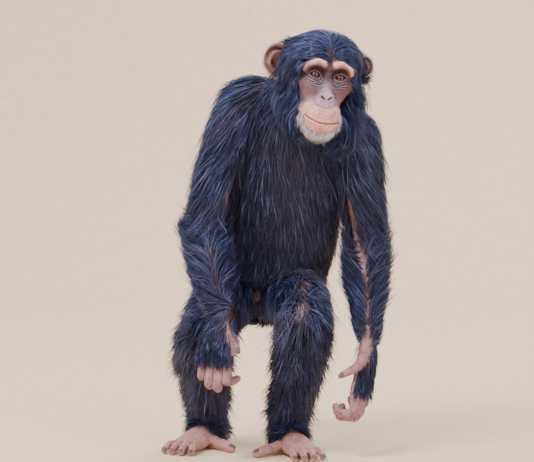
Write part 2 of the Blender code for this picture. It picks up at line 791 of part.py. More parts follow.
# Colours of the coat and of the skin, linear
MATERIALS = {
    "black_coat": ((0.020, 0.023, 0.038), 0.55),
    "white_beard": ((0.62, 0.58, 0.58), 0.70),
    "face_skin": ((0.48, 0.29, 0.25), 0.55),
    "ear_skin": ((0.42, 0.22, 0.19), 0.55),
    "hand_skin": ((0.36, 0.20, 0.19), 0.60),
    "eye_brown": ((0.16, 0.07, 0.03), 0.12),
}


def paint(thing, slot):
    material = bpy.data.materials.get(slot)
    if material is None:
        colour, roughness = MATERIALS[slot]
        material = bpy.data.materials.new(slot)
        material.use_nodes = True
        surface = material.node_tree.nodes["Principled BSDF"]
        surface.inputs["Base Color"].default_value = (*colour, 1.0)
        surface.inputs["Roughness"].default_value = roughness
        surface.inputs["Metallic"].default_value = 0.0
        material.diffuse_color = (*colour, 1.0)
    thing.data.materials.clear()
    thing.data.materials.append(material)
    thing.data.shade_smooth()
    return thing


def arm_cutters():
    return [limb("arm_cutter", "upper_arm", which, GAP) for which in SIGN]


def head_cutters():
    return [head_shape("head_cutter", *HEAD_MESH, CORE_SHARE, GAP), face_prism("face_cutter", GAP)]


def build_cores():
    """Every node without its locks, by name, in the order that they are finished."""
    cores = {}
    chest = join(trunk_part("chest", WAIST, None), shoulder_girdle("girdle"))
    carve(chest, neck_part("neck_cutter", GAP), *arm_cutters(), *head_cutters())
    belly = trunk_part("belly", PELVIS, WAIST)
    carve(belly, *[limb("thigh_cutter", "thigh", w, GAP) for w in SIGN], *arm_cutters())
    hips = trunk_part("hips", None, PELVIS)
    carve(hips, *[limb("thigh_cutter", "thigh", w, GAP) for w in SIGN])
    neck = neck_part("neck")
    carve(neck, *arm_cutters(), *head_cutters())
    head = head_shape("head", *HEAD_MESH, CORE_SHARE)
    carve(head, face_prism("face_cutter", GAP), beard_band("beard_cutter", GAP))
    for which, sign in SIGN.items():
        carve(head, ear_part("ear_cutter", sign, EAR_SPREAD[which], GAP, cupped=False))
    cores.update(chest=chest, belly=belly, hips=hips, neck=neck, head=head)
    for which in SIGN:
        arm = limb("upper_arm_" + which, "upper_arm", which)
        carve(arm, limb("forearm_cutter", "forearm", which, GAP))
        cores[arm.name] = arm
        forearm = limb("forearm_" + which, "forearm", which)
        carve(forearm, palm("palm_cutter", which, GAP))
        cores[forearm.name] = forearm
        thigh = thigh_part(which)
        carve(thigh, limb("shin_cutter", "shin", which, GAP))
        cores[thigh.name] = thigh
        shin = limb("shin_" + which, "shin", which)
        carve(shin, foot_body("foot_cutter", which, GAP))
        cores[shin.name] = shin
    return cores


def build_bare_parts():
    """The face, eyes, ears, hands and feet, which carry no locks."""
    bare = {"face": (face_part(), "face_skin")}
    for which, sign in SIGN.items():
        eye = ellipsoid("eye_" + which, eye_centre(sign), [EYE_RADIUS * MM] * 3, None, 0, *EYE_MESH)
        bare[eye.name] = (eye, "eye_brown")
        ear = ear_part("ear_" + which, sign, EAR_SPREAD[which])
        bare[ear.name] = (ear, "ear_skin")
        hand = palm("hand_" + which, which)
        cutters = [finger("finger_cutter", which, label, GAP) for label in FINGERS]
        carve(hand, thumb("thumb_cutter", which, GAP), *cutters)
        bare[hand.name] = (hand, "hand_skin")
        made = thumb("thumb_" + which, which)
        bare[made.name] = (made, "hand_skin")
        for label in FINGERS:
            made = finger(label + "_finger_" + which, which, label)
            bare[made.name] = (made, "hand_skin")
        foot = foot_body("foot_" + which, which)
        cutters = [toe("cutter", which, o, n, GAP) for o, n in TOES.values()]
        carve(foot, great_toe("great_toe_cutter", which, GAP), *cutters)
        bare[foot.name] = (stand_on_floor(foot), "hand_skin")
        made = great_toe("great_toe_" + which, which)
        bare[made.name] = (stand_on_floor(made), "hand_skin")
        for label, (outward, length) in TOES.items():
            made = toe(label + "_toe_" + which, which, outward, length)
            bare[made.name] = (stand_on_floor(made), "hand_skin")
    return bare


def centre_on_origin():
    """Moves every node so that the middle of the footprint is the origin, with the soles at z = 0."""
    nodes = [thing for thing in bpy.data.objects if thing.type == "MESH"]
    places = np.array([vert.co for thing in nodes for vert in thing.data.vertices])
    low, high = places.min(axis=0), places.max(axis=0)
    shift = Matrix.Translation((-(low[0] + high[0]) / 2, -(low[1] + high[1]) / 2, -low[2]))
    for thing in nodes:
        thing.data.transform(shift)


def flow(kind, name, point):
    """The way that the coat lies at this point of a node, not yet laid flat on the surface."""
    which = "left" if name.endswith("left") else "right"
    if kind == "forearm":
        up = (ELBOW[which] - WRIST[which]).normalized()
        middle = WRIST[which].lerp(ELBOW[which], 0.5)
        outward = point - middle
        outward -= up * outward.dot(up)
        return up + outward.normalized() * 0.5
    if kind == "upper_arm":
        return (ELBOW[which] - SHOULDER[which]).normalized() + Vector((0.25 * SIGN[which], 0.15, 0))
    if kind == "thigh":
        return (KNEE[which] - HIP[which]).normalized() * 0.7 + Vector((0.2 * SIGN[which], 0, -0.7))
    if kind == "shin":
        return (ANKLE[which] - KNEE[which]).normalized() + Vector((0.15 * SIGN[which], 0.25, 0))
    if kind == "head":
        centre = head_matrix() @ Vector((0, 40, 0))
        across = point - centre
        down = Vector((0, 0.25, -1))
        back = Vector((0, 1, 0.1))
        share = min(max((point.z - centre.z) / 0.05, 0), 1)
        return down.lerp(back, share) + Vector((across.x * 6, 0, 0))
    if kind == "neck":
        return Vector((0, 0.5, -1))
    sideways = (point.x - WAIST.x) * (3 if kind == "chest" else 1)
    return Vector((sideways, 0.1, -1))


def lists_of(things):
    """The points and the faces of several objects, in two lists."""
    points, faces = [], []
    for thing in things:
        start = len(points)
        points += [vert.co.copy() for vert in thing.data.vertices]
        faces += [[start + index for index in face.vertices] for face in thing.data.polygons]
    return points, faces


def tree_of(things):
    return BVHTree.FromPolygons(*lists_of(things))


def roots_on(core, others, spacing, draw):
    """Places for locks, spread evenly over what shows of a core."""
    points, faces = lists_of([core])
    corners = np.array([[points[index] for index in face] for face in faces])
    sides = np.cross(corners[:, 1] - corners[:, 0], corners[:, 2] - corners[:, 0])
    areas = np.linalg.norm(sides, axis=1)
    count = int(areas.sum() / 2 / spacing**2 * ROOTS_TRIED)
    picks = draw.choice(len(faces), count, p=areas / areas.sum())
    roots = []
    for pick in picks:
        a, b = np.sort(draw.random(2))
        place = Vector((a, b - a, 1 - b) @ corners[pick])
        normal = Vector(sides[pick]).normalized()
        clear = others.find_nearest(place + normal * 0.003)[3]
        if clear < ROOT_CLEARANCE or place.z < LOWEST_ROOT:
            continue
        if all((place - other).length > spacing for other, _ in roots):
            roots.append((place, normal))
    return roots


def lay_lock(root, normal, kind, name, skin, length, lift):
    """Middles and normals of a lock's rings, from its sunk root along the coat to its tip."""
    middles = [root - normal * ROOT_DEPTH]
    normals = [normal]
    place = root
    for share, step in ((0.35, 0.35), (0.70, 0.35), (1.0, 0.30)):
        way = flow(kind, name, place)
        way = (way - normals[-1] * way.dot(normals[-1])).normalized()
        place, found, _, _ = skin.find_nearest(place + way * step * length)
        normals.append((found + normals[-1] * 0.6).normalized())
        middles.append(place + found * (UNDERSIDE + lift + LOCKS[kind][3] * share**1.5))
    return middles, normals


def beard_locks(others):
    """White locks set all along the beard, that stand out from the jaw and bend down."""
    length, width = BEARD_LOCK
    matrix = head_matrix()
    turn = matrix.to_3x3().normalized()
    front = turn @ Vector((0, -1, 0))
    made = []
    path = smooth_values([on_face(x, z, -1.0) for x, z in BEARD_PATH], 2)[3:-3]
    for k, point in enumerate(path):
        root = matrix @ Vector(point)
        outward = turn @ Vector((point[0], -20, point[2] + 62)).normalized()
        size = length * (0.85 + 0.15 * (k % 2))
        middles = [root - outward * 0.002]
        for share in (0.35, 0.70, 1.0):
            middles.append(root + outward * size * share + Vector((0, 0, -0.3 * size * share**2)))
        wide = lock_shape("test", middles, [front] * 4, width, grow=CLEAR_OF_NEIGHBOURS)
        if not touches(wide, others):
            made.append(lock_shape("beard_lock", middles, [front] * 4, width))
        bpy.data.objects.remove(wide)
    return made


def lock_shape(name, middles, normals, width, grow=0.0):
    """A flat tapered lock with a keel along its back, as a loft of three-sided rings."""
    shape = bmesh.new()
    rings = []
    for k, share in enumerate((0.40, 1.0, 0.70)):
        along = (middles[k + 1] - middles[max(k - 1, 0)]).normalized()
        across = along.cross(normals[k]).normalized()
        up = across.cross(along)
        half = width * share / 2 + grow
        keel = width * LOCK_THICKNESS * share + grow
        ring = [middles[k] - across * half - up * grow, middles[k] + across * half - up * grow]
        ring.append(middles[k] + up * keel)
        rings.append([shape.verts.new(point) for point in ring])
    tip = shape.verts.new(middles[3] + (middles[3] - middles[2]).normalized() * grow)
    for ring, following in zip(rings, rings[1:]):
        for k in range(3):
            j = (k + 1) % 3
            shape.faces.new((ring[k], ring[j], following[j], following[k]))
    for k in range(3):
        shape.faces.new((rings[2][k], rings[2][(k + 1) % 3], tip))
    shape.faces.new(rings[0])
    return object_from(name, shape)


def touches(thing, tree):
    return bool(tree.overlap(tree_of([thing])))


def cover_with_locks(core, kind, skin, others, draw):
    """Unites a core with its locks, each bent clear of its neighbours, or shorter, or left out."""
    spacing, length, width, _ = LOCKS[kind]
    locks = []
    for root, normal in roots_on(core, others, spacing, draw):
        size = 0.85 + 0.3 * draw.random()
        for cut, lift in TRIES:
            path = lay_lock(root, normal, kind, core.name, skin, length * size * cut, lift)
            wide = lock_shape("test", *path, width * size, grow=CLEAR_OF_NEIGHBOURS)
            lowest = min(vert.co.z for vert in wide.data.vertices)
            crossing = touches(wide, others) or lowest < LOWEST_LOCK
            bpy.data.objects.remove(wide)
            if not crossing:
                locks.append(lock_shape(core.name + "_lock", *path, width * size))
                break
    join(core, *locks)


def add_coat(coated, everything):
    """Covers each hairy node in turn, so that each one keeps clear of those before it."""
    skin = tree_of(everything)
    for number, kind in enumerate(LOCKS):
        draw = np.random.default_rng([SEED, number])
        for core in [thing for thing in coated if thing.name.startswith(kind)]:
            others = tree_of([thing for thing in everything if thing is not core])
            cover_with_locks(core, kind, skin, others, draw)


def main():
    clear_scene()
    cores = build_cores()
    bare = build_bare_parts()
    beard = join(beard_band("beard"), *beard_locks(tree_of([cores["head"], bare["face"][0]])))
    add_coat(cores.values(), [*cores.values(), beard, *[thing for thing, _ in bare.values()]])
    for core in cores.values():
        paint(core, "black_coat")
    for thing, slot in bare.values():
        paint(thing, slot)
    paint(beard, "white_beard")
    centre_on_origin()


main()
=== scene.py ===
# %% [markdown]
# # A young chimpanzee, life size, in skin and hair
#
# The solids give the stance and the outline. This script puts one skin over all the flesh, with a
# finely modelled face, and then grows a coat on it: thin tapered blades that follow the lie of the
# hair, drawn together into locks. The animal faces -Y, and its own left side is at +X.

# %%
import math

import bmesh
import bpy
import numpy as np
from mathutils import Matrix, Vector
from mathutils.bvhtree import BVHTree
from mathutils.kdtree import KDTree

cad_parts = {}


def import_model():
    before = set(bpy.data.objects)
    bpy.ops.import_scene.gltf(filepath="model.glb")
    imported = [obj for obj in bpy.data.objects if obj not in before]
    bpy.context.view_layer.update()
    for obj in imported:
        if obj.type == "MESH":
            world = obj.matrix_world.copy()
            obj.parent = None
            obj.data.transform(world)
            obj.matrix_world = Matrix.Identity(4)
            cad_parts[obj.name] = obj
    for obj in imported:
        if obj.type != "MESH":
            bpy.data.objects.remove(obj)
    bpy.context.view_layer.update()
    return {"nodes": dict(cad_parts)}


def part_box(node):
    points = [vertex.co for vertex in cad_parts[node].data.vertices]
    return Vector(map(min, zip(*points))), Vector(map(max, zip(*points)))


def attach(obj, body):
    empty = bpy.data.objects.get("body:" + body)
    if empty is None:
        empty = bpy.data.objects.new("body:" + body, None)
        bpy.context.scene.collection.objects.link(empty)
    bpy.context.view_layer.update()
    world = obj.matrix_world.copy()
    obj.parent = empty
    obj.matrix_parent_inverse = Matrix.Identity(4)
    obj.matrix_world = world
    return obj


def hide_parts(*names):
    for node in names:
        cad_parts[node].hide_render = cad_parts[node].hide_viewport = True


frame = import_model()
print(len(frame["nodes"]), "solids in the frame")

# %% [markdown]
# ## Places of the joints
#
# These are the points that the solids were made from. The solids were then moved so that they stand
# on the origin, and the eye says by how much.

# %%
MM = 0.001
RIGHT, LEFT = "right", "left"
SIGN = {RIGHT: -1, LEFT: 1}
HEAD_SIZE = 0.963
EYE_SPREAD = 23.0
EYE_RADIUS = 10.5
MUZZLE_ASIDE = -5.6
HEAD_TURN = (
    Matrix.Rotation(math.radians(8), 4, "Z")
    @ Matrix.Rotation(math.radians(8), 4, "Y")
    @ Matrix.Rotation(math.radians(-5), 4, "X")
)
BETWEEN_EYES = Vector((0.0762, -0.200, 0.676))


def centre_of(node):
    low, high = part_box(node)
    return (Vector(low) + Vector(high)) / 2


left_eye = BETWEEN_EYES + HEAD_TURN.to_3x3() @ Vector((EYE_SPREAD * HEAD_SIZE * MM, 0, 0))
SHIFT = centre_of("eye_left") - left_eye
HEAD = Matrix.Translation(BETWEEN_EYES + SHIFT) @ HEAD_TURN @ Matrix.Scale(HEAD_SIZE * MM, 4)
HEAD_INVERSE = np.array(HEAD.inverted())


def at(x, y, z):
    """A place in the frame, from the measure that the solids were drawn in."""
    return Vector((x, y, z)) + SHIFT


PELVIS = at(-0.034, 0.060, 0.294)
CROTCH = at(-0.036, 0.066, 0.268)
BELLY = at(-0.005, 0.032, 0.358)
WAIST = at(0.008, -0.004, 0.445)
CHEST = at(0.018, -0.034, 0.530)
UPPER_CHEST = at(0.027, -0.058, 0.592)
NECK_BASE = at(0.033, -0.070, 0.620)
SKULL_BASE = at(0.054, -0.116, 0.646)
SHOULDER = {RIGHT: at(-0.082, -0.058, 0.597), LEFT: at(0.126, -0.072, 0.568)}
ELBOW = {RIGHT: at(-0.138, -0.046, 0.402), LEFT: at(0.149, -0.038, 0.384)}
WRIST = {RIGHT: at(-0.107, -0.178, 0.240), LEFT: at(0.151, -0.113, 0.200)}
HIP = {RIGHT: at(-0.080, 0.050, 0.287), LEFT: at(0.014, 0.048, 0.287)}
KNEE = {RIGHT: at(-0.143, -0.104, 0.212), LEFT: at(0.042, -0.132, 0.245)}
ANKLE = {RIGHT: at(-0.134, 0.018, 0.050), LEFT: at(0.010, -0.044, 0.050)}
TOE_OUT = {RIGHT: math.radians(-22), LEFT: math.radians(14)}
print("moved by", [round(v, 4) for v in SHIFT])

# %% [markdown]
# ## Mesh helpers

# %%
def deselect():
    bpy.ops.object.select_all(action="DESELECT")


def link(thing):
    bpy.context.scene.collection.objects.link(thing)
    return thing


def stacked(x, y, z):
    """Places or ways, one row each, from three columns of which some may be plain numbers."""
    return np.column_stack(np.broadcast_arrays(x, y, z))


def points_of(thing):
    out = np.empty(len(thing.data.vertices) * 3, np.float32)
    thing.data.vertices.foreach_get("co", out)
    return out.reshape(-1, 3).astype(float)


def normals_of(thing):
    out = np.empty(len(thing.data.vertices) * 3, np.float32)
    thing.data.vertex_normals.foreach_get("vector", out)
    return out.reshape(-1, 3).astype(float)


def set_points(thing, points):
    thing.data.vertices.foreach_set("co", np.asarray(points, np.float32).ravel())
    thing.data.update()


def triangles_of(thing):
    thing.data.calc_loop_triangles()
    out = np.empty(len(thing.data.loop_triangles) * 3, np.int32)
    thing.data.loop_triangles.foreach_get("vertices", out)
    return out.reshape(-1, 3)


def outward(thing):
    """Turns every face of a closed mesh outwards."""
    shape = bmesh.new()
    shape.from_mesh(thing.data)
    bmesh.ops.recalc_face_normals(shape, faces=shape.faces)
    shape.to_mesh(thing.data)
    shape.free()
    return thing


def closed_object(name, points, faces, transform=None):
    """An object from points and faces that close a volume, with its faces turned outwards."""
    mesh = bpy.data.meshes.new(name)
    mesh.from_pydata(points, [], faces)
    if transform:
        mesh.transform(transform)
    return outward(link(bpy.data.objects.new(name, mesh)))


def ring_quads(rows, count):
    """Quads between closed rings of count points, one ring after another."""
    index = np.arange(rows * count).reshape(rows, count)
    following = np.roll(index, -1, axis=1)
    return np.stack([index[:-1], following[:-1], following[1:], index[1:]], axis=-1).reshape(-1, 4).tolist()


def joined(name, things):
    """Joins objects into the first of them."""
    deselect()
    for thing in things:
        thing.select_set(True)
    bpy.context.view_layer.objects.active = things[0]
    bpy.ops.object.join()
    whole = bpy.context.object
    whole.name = name
    return whole


def apply_modifiers(thing):
    graph = bpy.context.evaluated_depsgraph_get()
    mesh = bpy.data.meshes.new_from_object(thing.evaluated_get(graph))
    thing.modifiers.clear()
    thing.data = mesh
    return thing


def smooth_values(values, steps):
    """Catmull-Rom through the rows of values, with this many steps in each span."""
    rows = np.array(values, float)
    padded = np.vstack([2 * rows[0] - rows[1], rows, 2 * rows[-1] - rows[-2]])
    out = []
    for a, b, c, d in zip(padded, padded[1:], padded[2:], padded[3:]):
        for t in np.arange(steps) / steps:
            even = 2 * b + (c - a) * t + (2 * a - 5 * b + 4 * c - d) * t**2
            out.append(0.5 * (even + (3 * b - a - 3 * c + d) * t**3))
    return np.array([*out, rows[-1]])


def loft(name, stations, side, sides=24, steps=5):
    """A closed round-ended tube through (point, half width, half depth); side is the width's way."""
    rows = smooth_values([[*point, width, depth] for point, width, depth in stations], steps)
    centres, widths, depths = rows[:, :3], rows[:, 3], rows[:, 4]
    along = np.gradient(centres, axis=0)
    along /= np.linalg.norm(along, axis=1)[:, None]
    side = np.array(side, float)
    rings = []
    for centre, tangent, width, depth in zip(centres, along, widths, depths):
        across = side - side @ tangent * tangent
        across /= np.linalg.norm(across)
        rings.append((centre, tangent, across, np.cross(tangent, across), width, depth))
    caps = [math.radians(angle) for angle in (20, 40, 60, 78)]

    def dome(ring, sign):
        centre, tangent, across, deep, width, depth = ring
        reach = sign * min(width, depth) * tangent
        return [
            (centre + reach * math.sin(a), tangent, across, deep, width * math.cos(a), depth * math.cos(a))
            for a in caps
        ]

    body = dome(rings[0], -1)[::-1] + rings + dome(rings[-1], 1)
    turns = np.linspace(0, 2 * math.pi, sides, endpoint=False)
    points = []
    for centre, _, across, deep, width, depth in body:
        ring = centre + np.outer(np.cos(turns), across * width) + np.outer(np.sin(turns), deep * depth)
        points.append(ring)
    count = len(body)
    points = np.vstack(points + [rings[0][0] - along[0] * min(widths[0], depths[0])]
                       + [rings[-1][0] + along[-1] * min(widths[-1], depths[-1])])
    faces = ring_quads(count, sides)
    for row, pole in ((0, count * sides), ((count - 1) * sides, count * sides + 1)):
        faces += [(row + j, row + (j + 1) % sides, pole) for j in range(sides)]
    return closed_object(name, points.tolist(), faces)


def ball_shape(name, centre, radii):
    """An ellipsoid at centre."""
    deselect()
    bpy.ops.mesh.primitive_uv_sphere_add(segments=32, ring_count=20, radius=1.0)
    thing = bpy.context.object
    thing.name = name
    thing.data.transform(Matrix.Translation(centre) @ Matrix.Diagonal((*radii, 1.0)))
    return thing


def melt(name, things, voxel, rounds):
    """Fuses shapes into one even surface and smooths it, so that they flow into each other."""
    whole = joined(name, things)
    remesh = whole.modifiers.new("remesh", "REMESH")
    remesh.mode = "VOXEL"
    remesh.voxel_size = voxel
    smooth = whole.modifiers.new("smooth", "SMOOTH")
    smooth.factor = 0.5
    smooth.iterations = rounds
    return apply_modifiers(whole)


def fuse(target, others):
    """One Boolean union of closed shapes, applied, with the operands removed."""
    group = bpy.data.collections.new("operands")
    bpy.context.scene.collection.children.link(group)
    for other in others:
        bpy.context.scene.collection.objects.unlink(other)
        group.objects.link(other)
    modifier = target.modifiers.new("fuse", "BOOLEAN")
    modifier.operation = "UNION"
    modifier.operand_type = "COLLECTION"
    modifier.collection = group
    modifier.solver = "MANIFOLD"
    bpy.context.view_layer.update()
    apply_modifiers(target)
    for other in others:
        bpy.data.objects.remove(other)
    bpy.data.collections.remove(group)
    return target


# %% [markdown]
# ## The shape of the head
#
# The head is a blend of balls and rods, in millimetres from the point between the eyes: x to its
# left, y backwards, z up. Only |x| matters, so both sides are alike. The solids use the same blend,
# and the face adds lids, lips, nostrils, brow knobs and folds to it.

# %%
def ball(p, centre, radii):
    q = p - np.array(centre, float)
    radii = np.array(radii, float)
    inner = np.linalg.norm(q / radii, axis=1)
    outer = np.linalg.norm(q / radii**2, axis=1)
    return inner * (inner - 1) / np.maximum(outer, 1e-6)


def rod(p, start, end, start_radius, end_radius):
    a, b = np.array(start, float), np.array(end, float)
    t = np.clip(((p - a) @ (b - a)) / ((b - a) @ (b - a)), 0, 1)
    radius = start_radius + (end_radius - start_radius) * t
    return np.linalg.norm(p - a - t[:, None] * (b - a), axis=1) - radius


def blend(a, b, k):
    h = np.clip(0.5 + 0.5 * (b - a) / k, 0, 1)
    return b + (a - b) * h - k * h * (1 - h)


def hollow(a, b, k):
    h = np.clip(0.5 - 0.5 * (a + b) / k, 0, 1)
    return a + (-b - a) * h + k * h * (1 - h)


def ramp(value, start, end):
    """0 before start, 1 after end, and smooth between."""
    t = np.clip((value - start) / (end - start), 0, 1)
    return t * t * (3 - 2 * t)


def peak(value, width, power=2):
    """1 where value is 0, falling away to both sides within about width."""
    return np.exp(-((value / width) ** power))


def skull_distance(p):
    """Distance to the skin of the head, ears and details apart."""
    q = np.column_stack([np.abs(p[:, 0]), p[:, 1], p[:, 2]])
    d = ball(q, (0, 62, 26), (63, 72, 51))
    d = blend(d, rod(q, (36, 10, 8), (51, 34, 0), 9, 11), 10)
    d = blend(d, ball(q, (0, 8, -22), (43, 27, 40)), 14)
    d = blend(d, rod(q, (22, -8, -21), (45, 12, -14), 11, 10), 10)
    d = blend(d, ball(q, (0, -16, -70), (35, 43, 30)), 12)
    d = blend(d, ball(q, (0, -2, -86), (33, 44, 25)), 12)
    d = blend(d, rod(q, (30, 14, -82), (46, 58, -36), 20, 20), 16)
    d = blend(d, rod(q, (0, -4, -6), (0, -32, -36), 8, 11), 12)
    d = blend(d, ball(q, (0, -38, -40), (12, 9, 9)), 7)
    d = blend(d, ball(q, (9, -37, -43), (7, 8, 7)), 5)
    inner_brow = rod(q, (4, -11, 15), (21, -14, 20), 7.5, 8.5)
    outer_brow = rod(q, (21, -14, 20), (43, -4, 12), 8.5, 8)
    d = blend(d, np.minimum(inner_brow, outer_brow), 8)
    d = hollow(d, ball(q, (EYE_SPREAD, -16, 1), (15, 12, 11)), 7)
    return blend(d, ball(q, (EYE_SPREAD, 0, 0), (12.5, 12.5, 12.5)), 3)


def mouth_height(x):
    """Height of the mouth's line at x. Its right corner is drawn up more than its left one."""
    return -87.5 + np.where(x < 0, 14.0, 7.0) * (x / 33.0) ** 2


def lid_edges(x):
    """Heights of the upper and the lower lid's edge, at x outward from between the eyes."""
    t = np.clip((x - EYE_SPREAD) / 10.2, -1, 1)
    tilt = 0.9 * t
    return 5.9 * (1 - t * t) ** 0.8 + tilt - 0.4, -5.2 * (1 - t * t) ** 0.8 + tilt - 0.2


def eye_rings(q):
    """Rings of loose skin under each eye: a wave from -1 to 1, and how strong it is."""
    aside = np.abs(q[:, 0]) - EYE_SPREAD
    bent = 0.9 * np.sin(0.23 * aside + 0.8) + 0.5 * np.sin(0.51 * q[:, 2] + q[:, 0] * 0.2)
    around = np.hypot(aside / 1.15, q[:, 2] + 0.5)
    waves = np.cos((around + bent - 10.0) * 2 * math.pi / (3.3 + 0.03 * around))
    share = ramp(-q[:, 2], 2, 7) * ramp(25 - around, 0, 7) * ramp(around, 8.5, 10.5)
    return waves, share * ramp(17.5 - np.abs(aside + 1), 0, 7)


def face_distance(p):
    """The head's distance with the small forms of the face added."""
    x, y, z = np.abs(p[:, 0]), p[:, 1], p[:, 2]
    q = np.column_stack([x, y, z])
    d = skull_distance(p)
    front = ramp(-y, -6, 4)
    # Lids: a rim on each edge, a fold above, and an opening between
    upper, lower = lid_edges(x)
    eye_ball = ball(q, (EYE_SPREAD, 0, 0), (12.0, 12.0, 12.0))
    inside = ramp(12.6 - np.abs(x - EYE_SPREAD), 0, 3)
    rim = np.minimum(np.abs(z - upper), np.abs(z - lower)) - 1.3
    d = blend(d, np.maximum(eye_ball - 0.9, rim + 3 * (1 - inside)), 1.2)
    gap = np.maximum(np.maximum(z - upper, lower - z), np.abs(x - EYE_SPREAD) - 10.0)
    well = np.maximum(gap, -(ball(q, (EYE_SPREAD, 0, 0), (9.6, 9.6, 9.6))))
    d = np.maximum(d, -np.maximum(well, y + 1.0))
    # Brow knobs: a firm roll over each eye, which turns down outside it
    inner_roll = rod(q, (9, -17.5, 20), (21, -20.5, 23), 5.2, 5.4)
    outer_roll = rod(q, (21, -20.5, 23), (41, -11, 14), 5.4, 4.0)
    d = blend(d, np.minimum(inner_roll, outer_roll), 4)
    d = hollow(d, rod(q, (0, -21, 12), (0, -18, 30), 0.8, 0.8), 5)
    d = hollow(d, rod(q, (13, -20, 9.5), (33, -17, 10), 2.4, 2.0), 4)
    # Rings of loose skin under each eye
    waves, share = eye_rings(q)
    d = d + 0.95 * share * ramp(-y, -6, 2) * waves
    # Nose: a broad flat pad, two lobes over the nostrils, which are slits set as a wide V
    d = blend(d, ball(q, (0, -38, -47), (19, 8, 12)), 4)
    d = blend(d, ball(q, (7.5, -42, -38.5), (6.2, 6, 5.0)), 3)
    d = hollow(d, rod(q, (3.8, -50, -43.4), (8.4, -47, -40.4), 2.0, 2.5), 2.2)
    d = hollow(d, rod(q, (0, -50, -45), (0, -50.5, -58), 0.9, 0.7), 3)
    d = hollow(d, rod(q, (15, -40, -32), (19, -37, -46), 0.6, 0.6), 3)
    # Mouth: a groove along its line, with a rolled lip on each side
    line = z - mouth_height(p[:, 0])
    wide = ramp(35 - x, 0, 7) * front
    d = d - 1.5 * wide * peak(line - 3.0, 2.6)
    d = d - 1.9 * wide * peak(line + 3.2, 2.8)
    return d + 2.6 * wide * peak(line, 1.05)


def muzzle_aside(z):
    """How far the lower face is set over to one side, in millimetres, as the photograph shows."""
    return np.outer(MUZZLE_ASIDE * ramp(-z, 0, 66), (1, 0, 0))


def world(points):
    """Head points in millimetres to places in the frame."""
    matrix = np.array(HEAD)
    points = np.asarray(points) + muzzle_aside(np.asarray(points)[:, 2])
    return points @ matrix[:3, :3].T + matrix[:3, 3]


def in_head(points):
    """Places in the frame to head points in millimetres."""
    points = np.asarray(points) @ HEAD_INVERSE[:3, :3].T + HEAD_INVERSE[:3, 3]
    return points - muzzle_aside(points[:, 2])


print("head drawn from", [round(v, 3) for v in HEAD.translation])

# %% [markdown]
# ## Trunk and limbs
#
# Each mass is a loft between the joints at the thickness of the skin, without the coat, with the
# muscles that show through it. Fusing them as voxels and smoothing the result lets them flow
# together as flesh does.

# %%
ARM_SKIN = (0.033, 0.029, 0.023)
FOREARM_SKIN = (0.026, 0.026, 0.021, 0.0165)
THIGH_SKIN = (0.050, 0.044, 0.031)
SHIN_SKIN = (0.034, 0.034, 0.027, 0.021)
TRUNK = (
    (CROTCH, 0.060, 0.048), (PELVIS, 0.079, 0.060), (BELLY, 0.087, 0.071), (WAIST, 0.084, 0.071),
    (CHEST, 0.084, 0.074), (UPPER_CHEST, 0.076, 0.066), (NECK_BASE, 0.056, 0.052),
)
GIRDLE = (
    (SHOULDER[RIGHT] + Vector((0.010, 0.014, 0.012)), 0.047, 0.034),
    (at(-0.036, -0.036, 0.613), 0.057, 0.038),
    (at(0.030, -0.040, 0.602), 0.054, 0.040),
    (at(0.080, -0.050, 0.584), 0.048, 0.037),
    (SHOULDER[LEFT] + Vector((-0.010, 0.014, 0.002)), 0.037, 0.033),
)
NECK = (
    (NECK_BASE - Vector((0.006, -0.006, 0.020)), 0.046, 0.046),
    (NECK_BASE.lerp(SKULL_BASE, 0.5) + Vector((0, 0.012, 0.005)), 0.044, 0.048),
    (SKULL_BASE + Vector((0, 0.004, 0)), 0.042, 0.046),
)
LIMBS = {
    "upper_arm": (SHOULDER, ELBOW, ARM_SKIN, Vector((0, 0.004, 0))),
    "forearm": (ELBOW, WRIST, FOREARM_SKIN, Vector((0, -0.004, 0))),
    "thigh": (HIP, KNEE, THIGH_SKIN, Vector((0, 0, 0.006))),
    "shin": (KNEE, ANKLE, SHIN_SKIN, Vector((0, 0.006, 0))),
}


def limb_stations(kind, which):
    starts, ends, skin, bow = LIMBS[kind]
    found = []
    for k, radius in enumerate(skin):
        t = k / (len(skin) - 1)
        point = starts[which].lerp(ends[which], t) + bow * 4 * t * (1 - t)
        found.append((point, radius, radius))
    return found


masses = [
    loft("trunk", TRUNK, (1, 0, 0), sides=40),
    loft("girdle", GIRDLE, (0, 0, 1), sides=32),
    loft("neck_mass", NECK, (1, 0, 0), sides=32),
]
for which in SIGN:
    for kind in LIMBS:
        masses.append(loft(kind + "_mass", limb_stations(kind, which), (1, 0, 0), sides=28))
    knee_cap = KNEE[which] + (KNEE[which] - HIP[which]).normalized() * 0.010 + Vector((0, -0.004, 0.006))
    masses.append(ball_shape("knee_cap", knee_cap, (0.019, 0.016, 0.020)))
    point = ELBOW[which] + Vector((0, 0.012, 0))
    masses.append(ball_shape("elbow_point", point, (0.018, 0.017, 0.022)))
BODY_VOXEL = 0.0064
body = melt("body", masses, BODY_VOXEL, 9)
print("body", len(body.data.polygons), "faces")

# %% [markdown]
# ## Hands and feet
#
# Every finger has three bones and is thicker at its joints. The right hand shows its back and the
# left one turns its palm to the thigh. A foot has a heel, a ball, four toes in front, and the great
# toe set off like a thumb. Each is fused as finer voxels than the body.

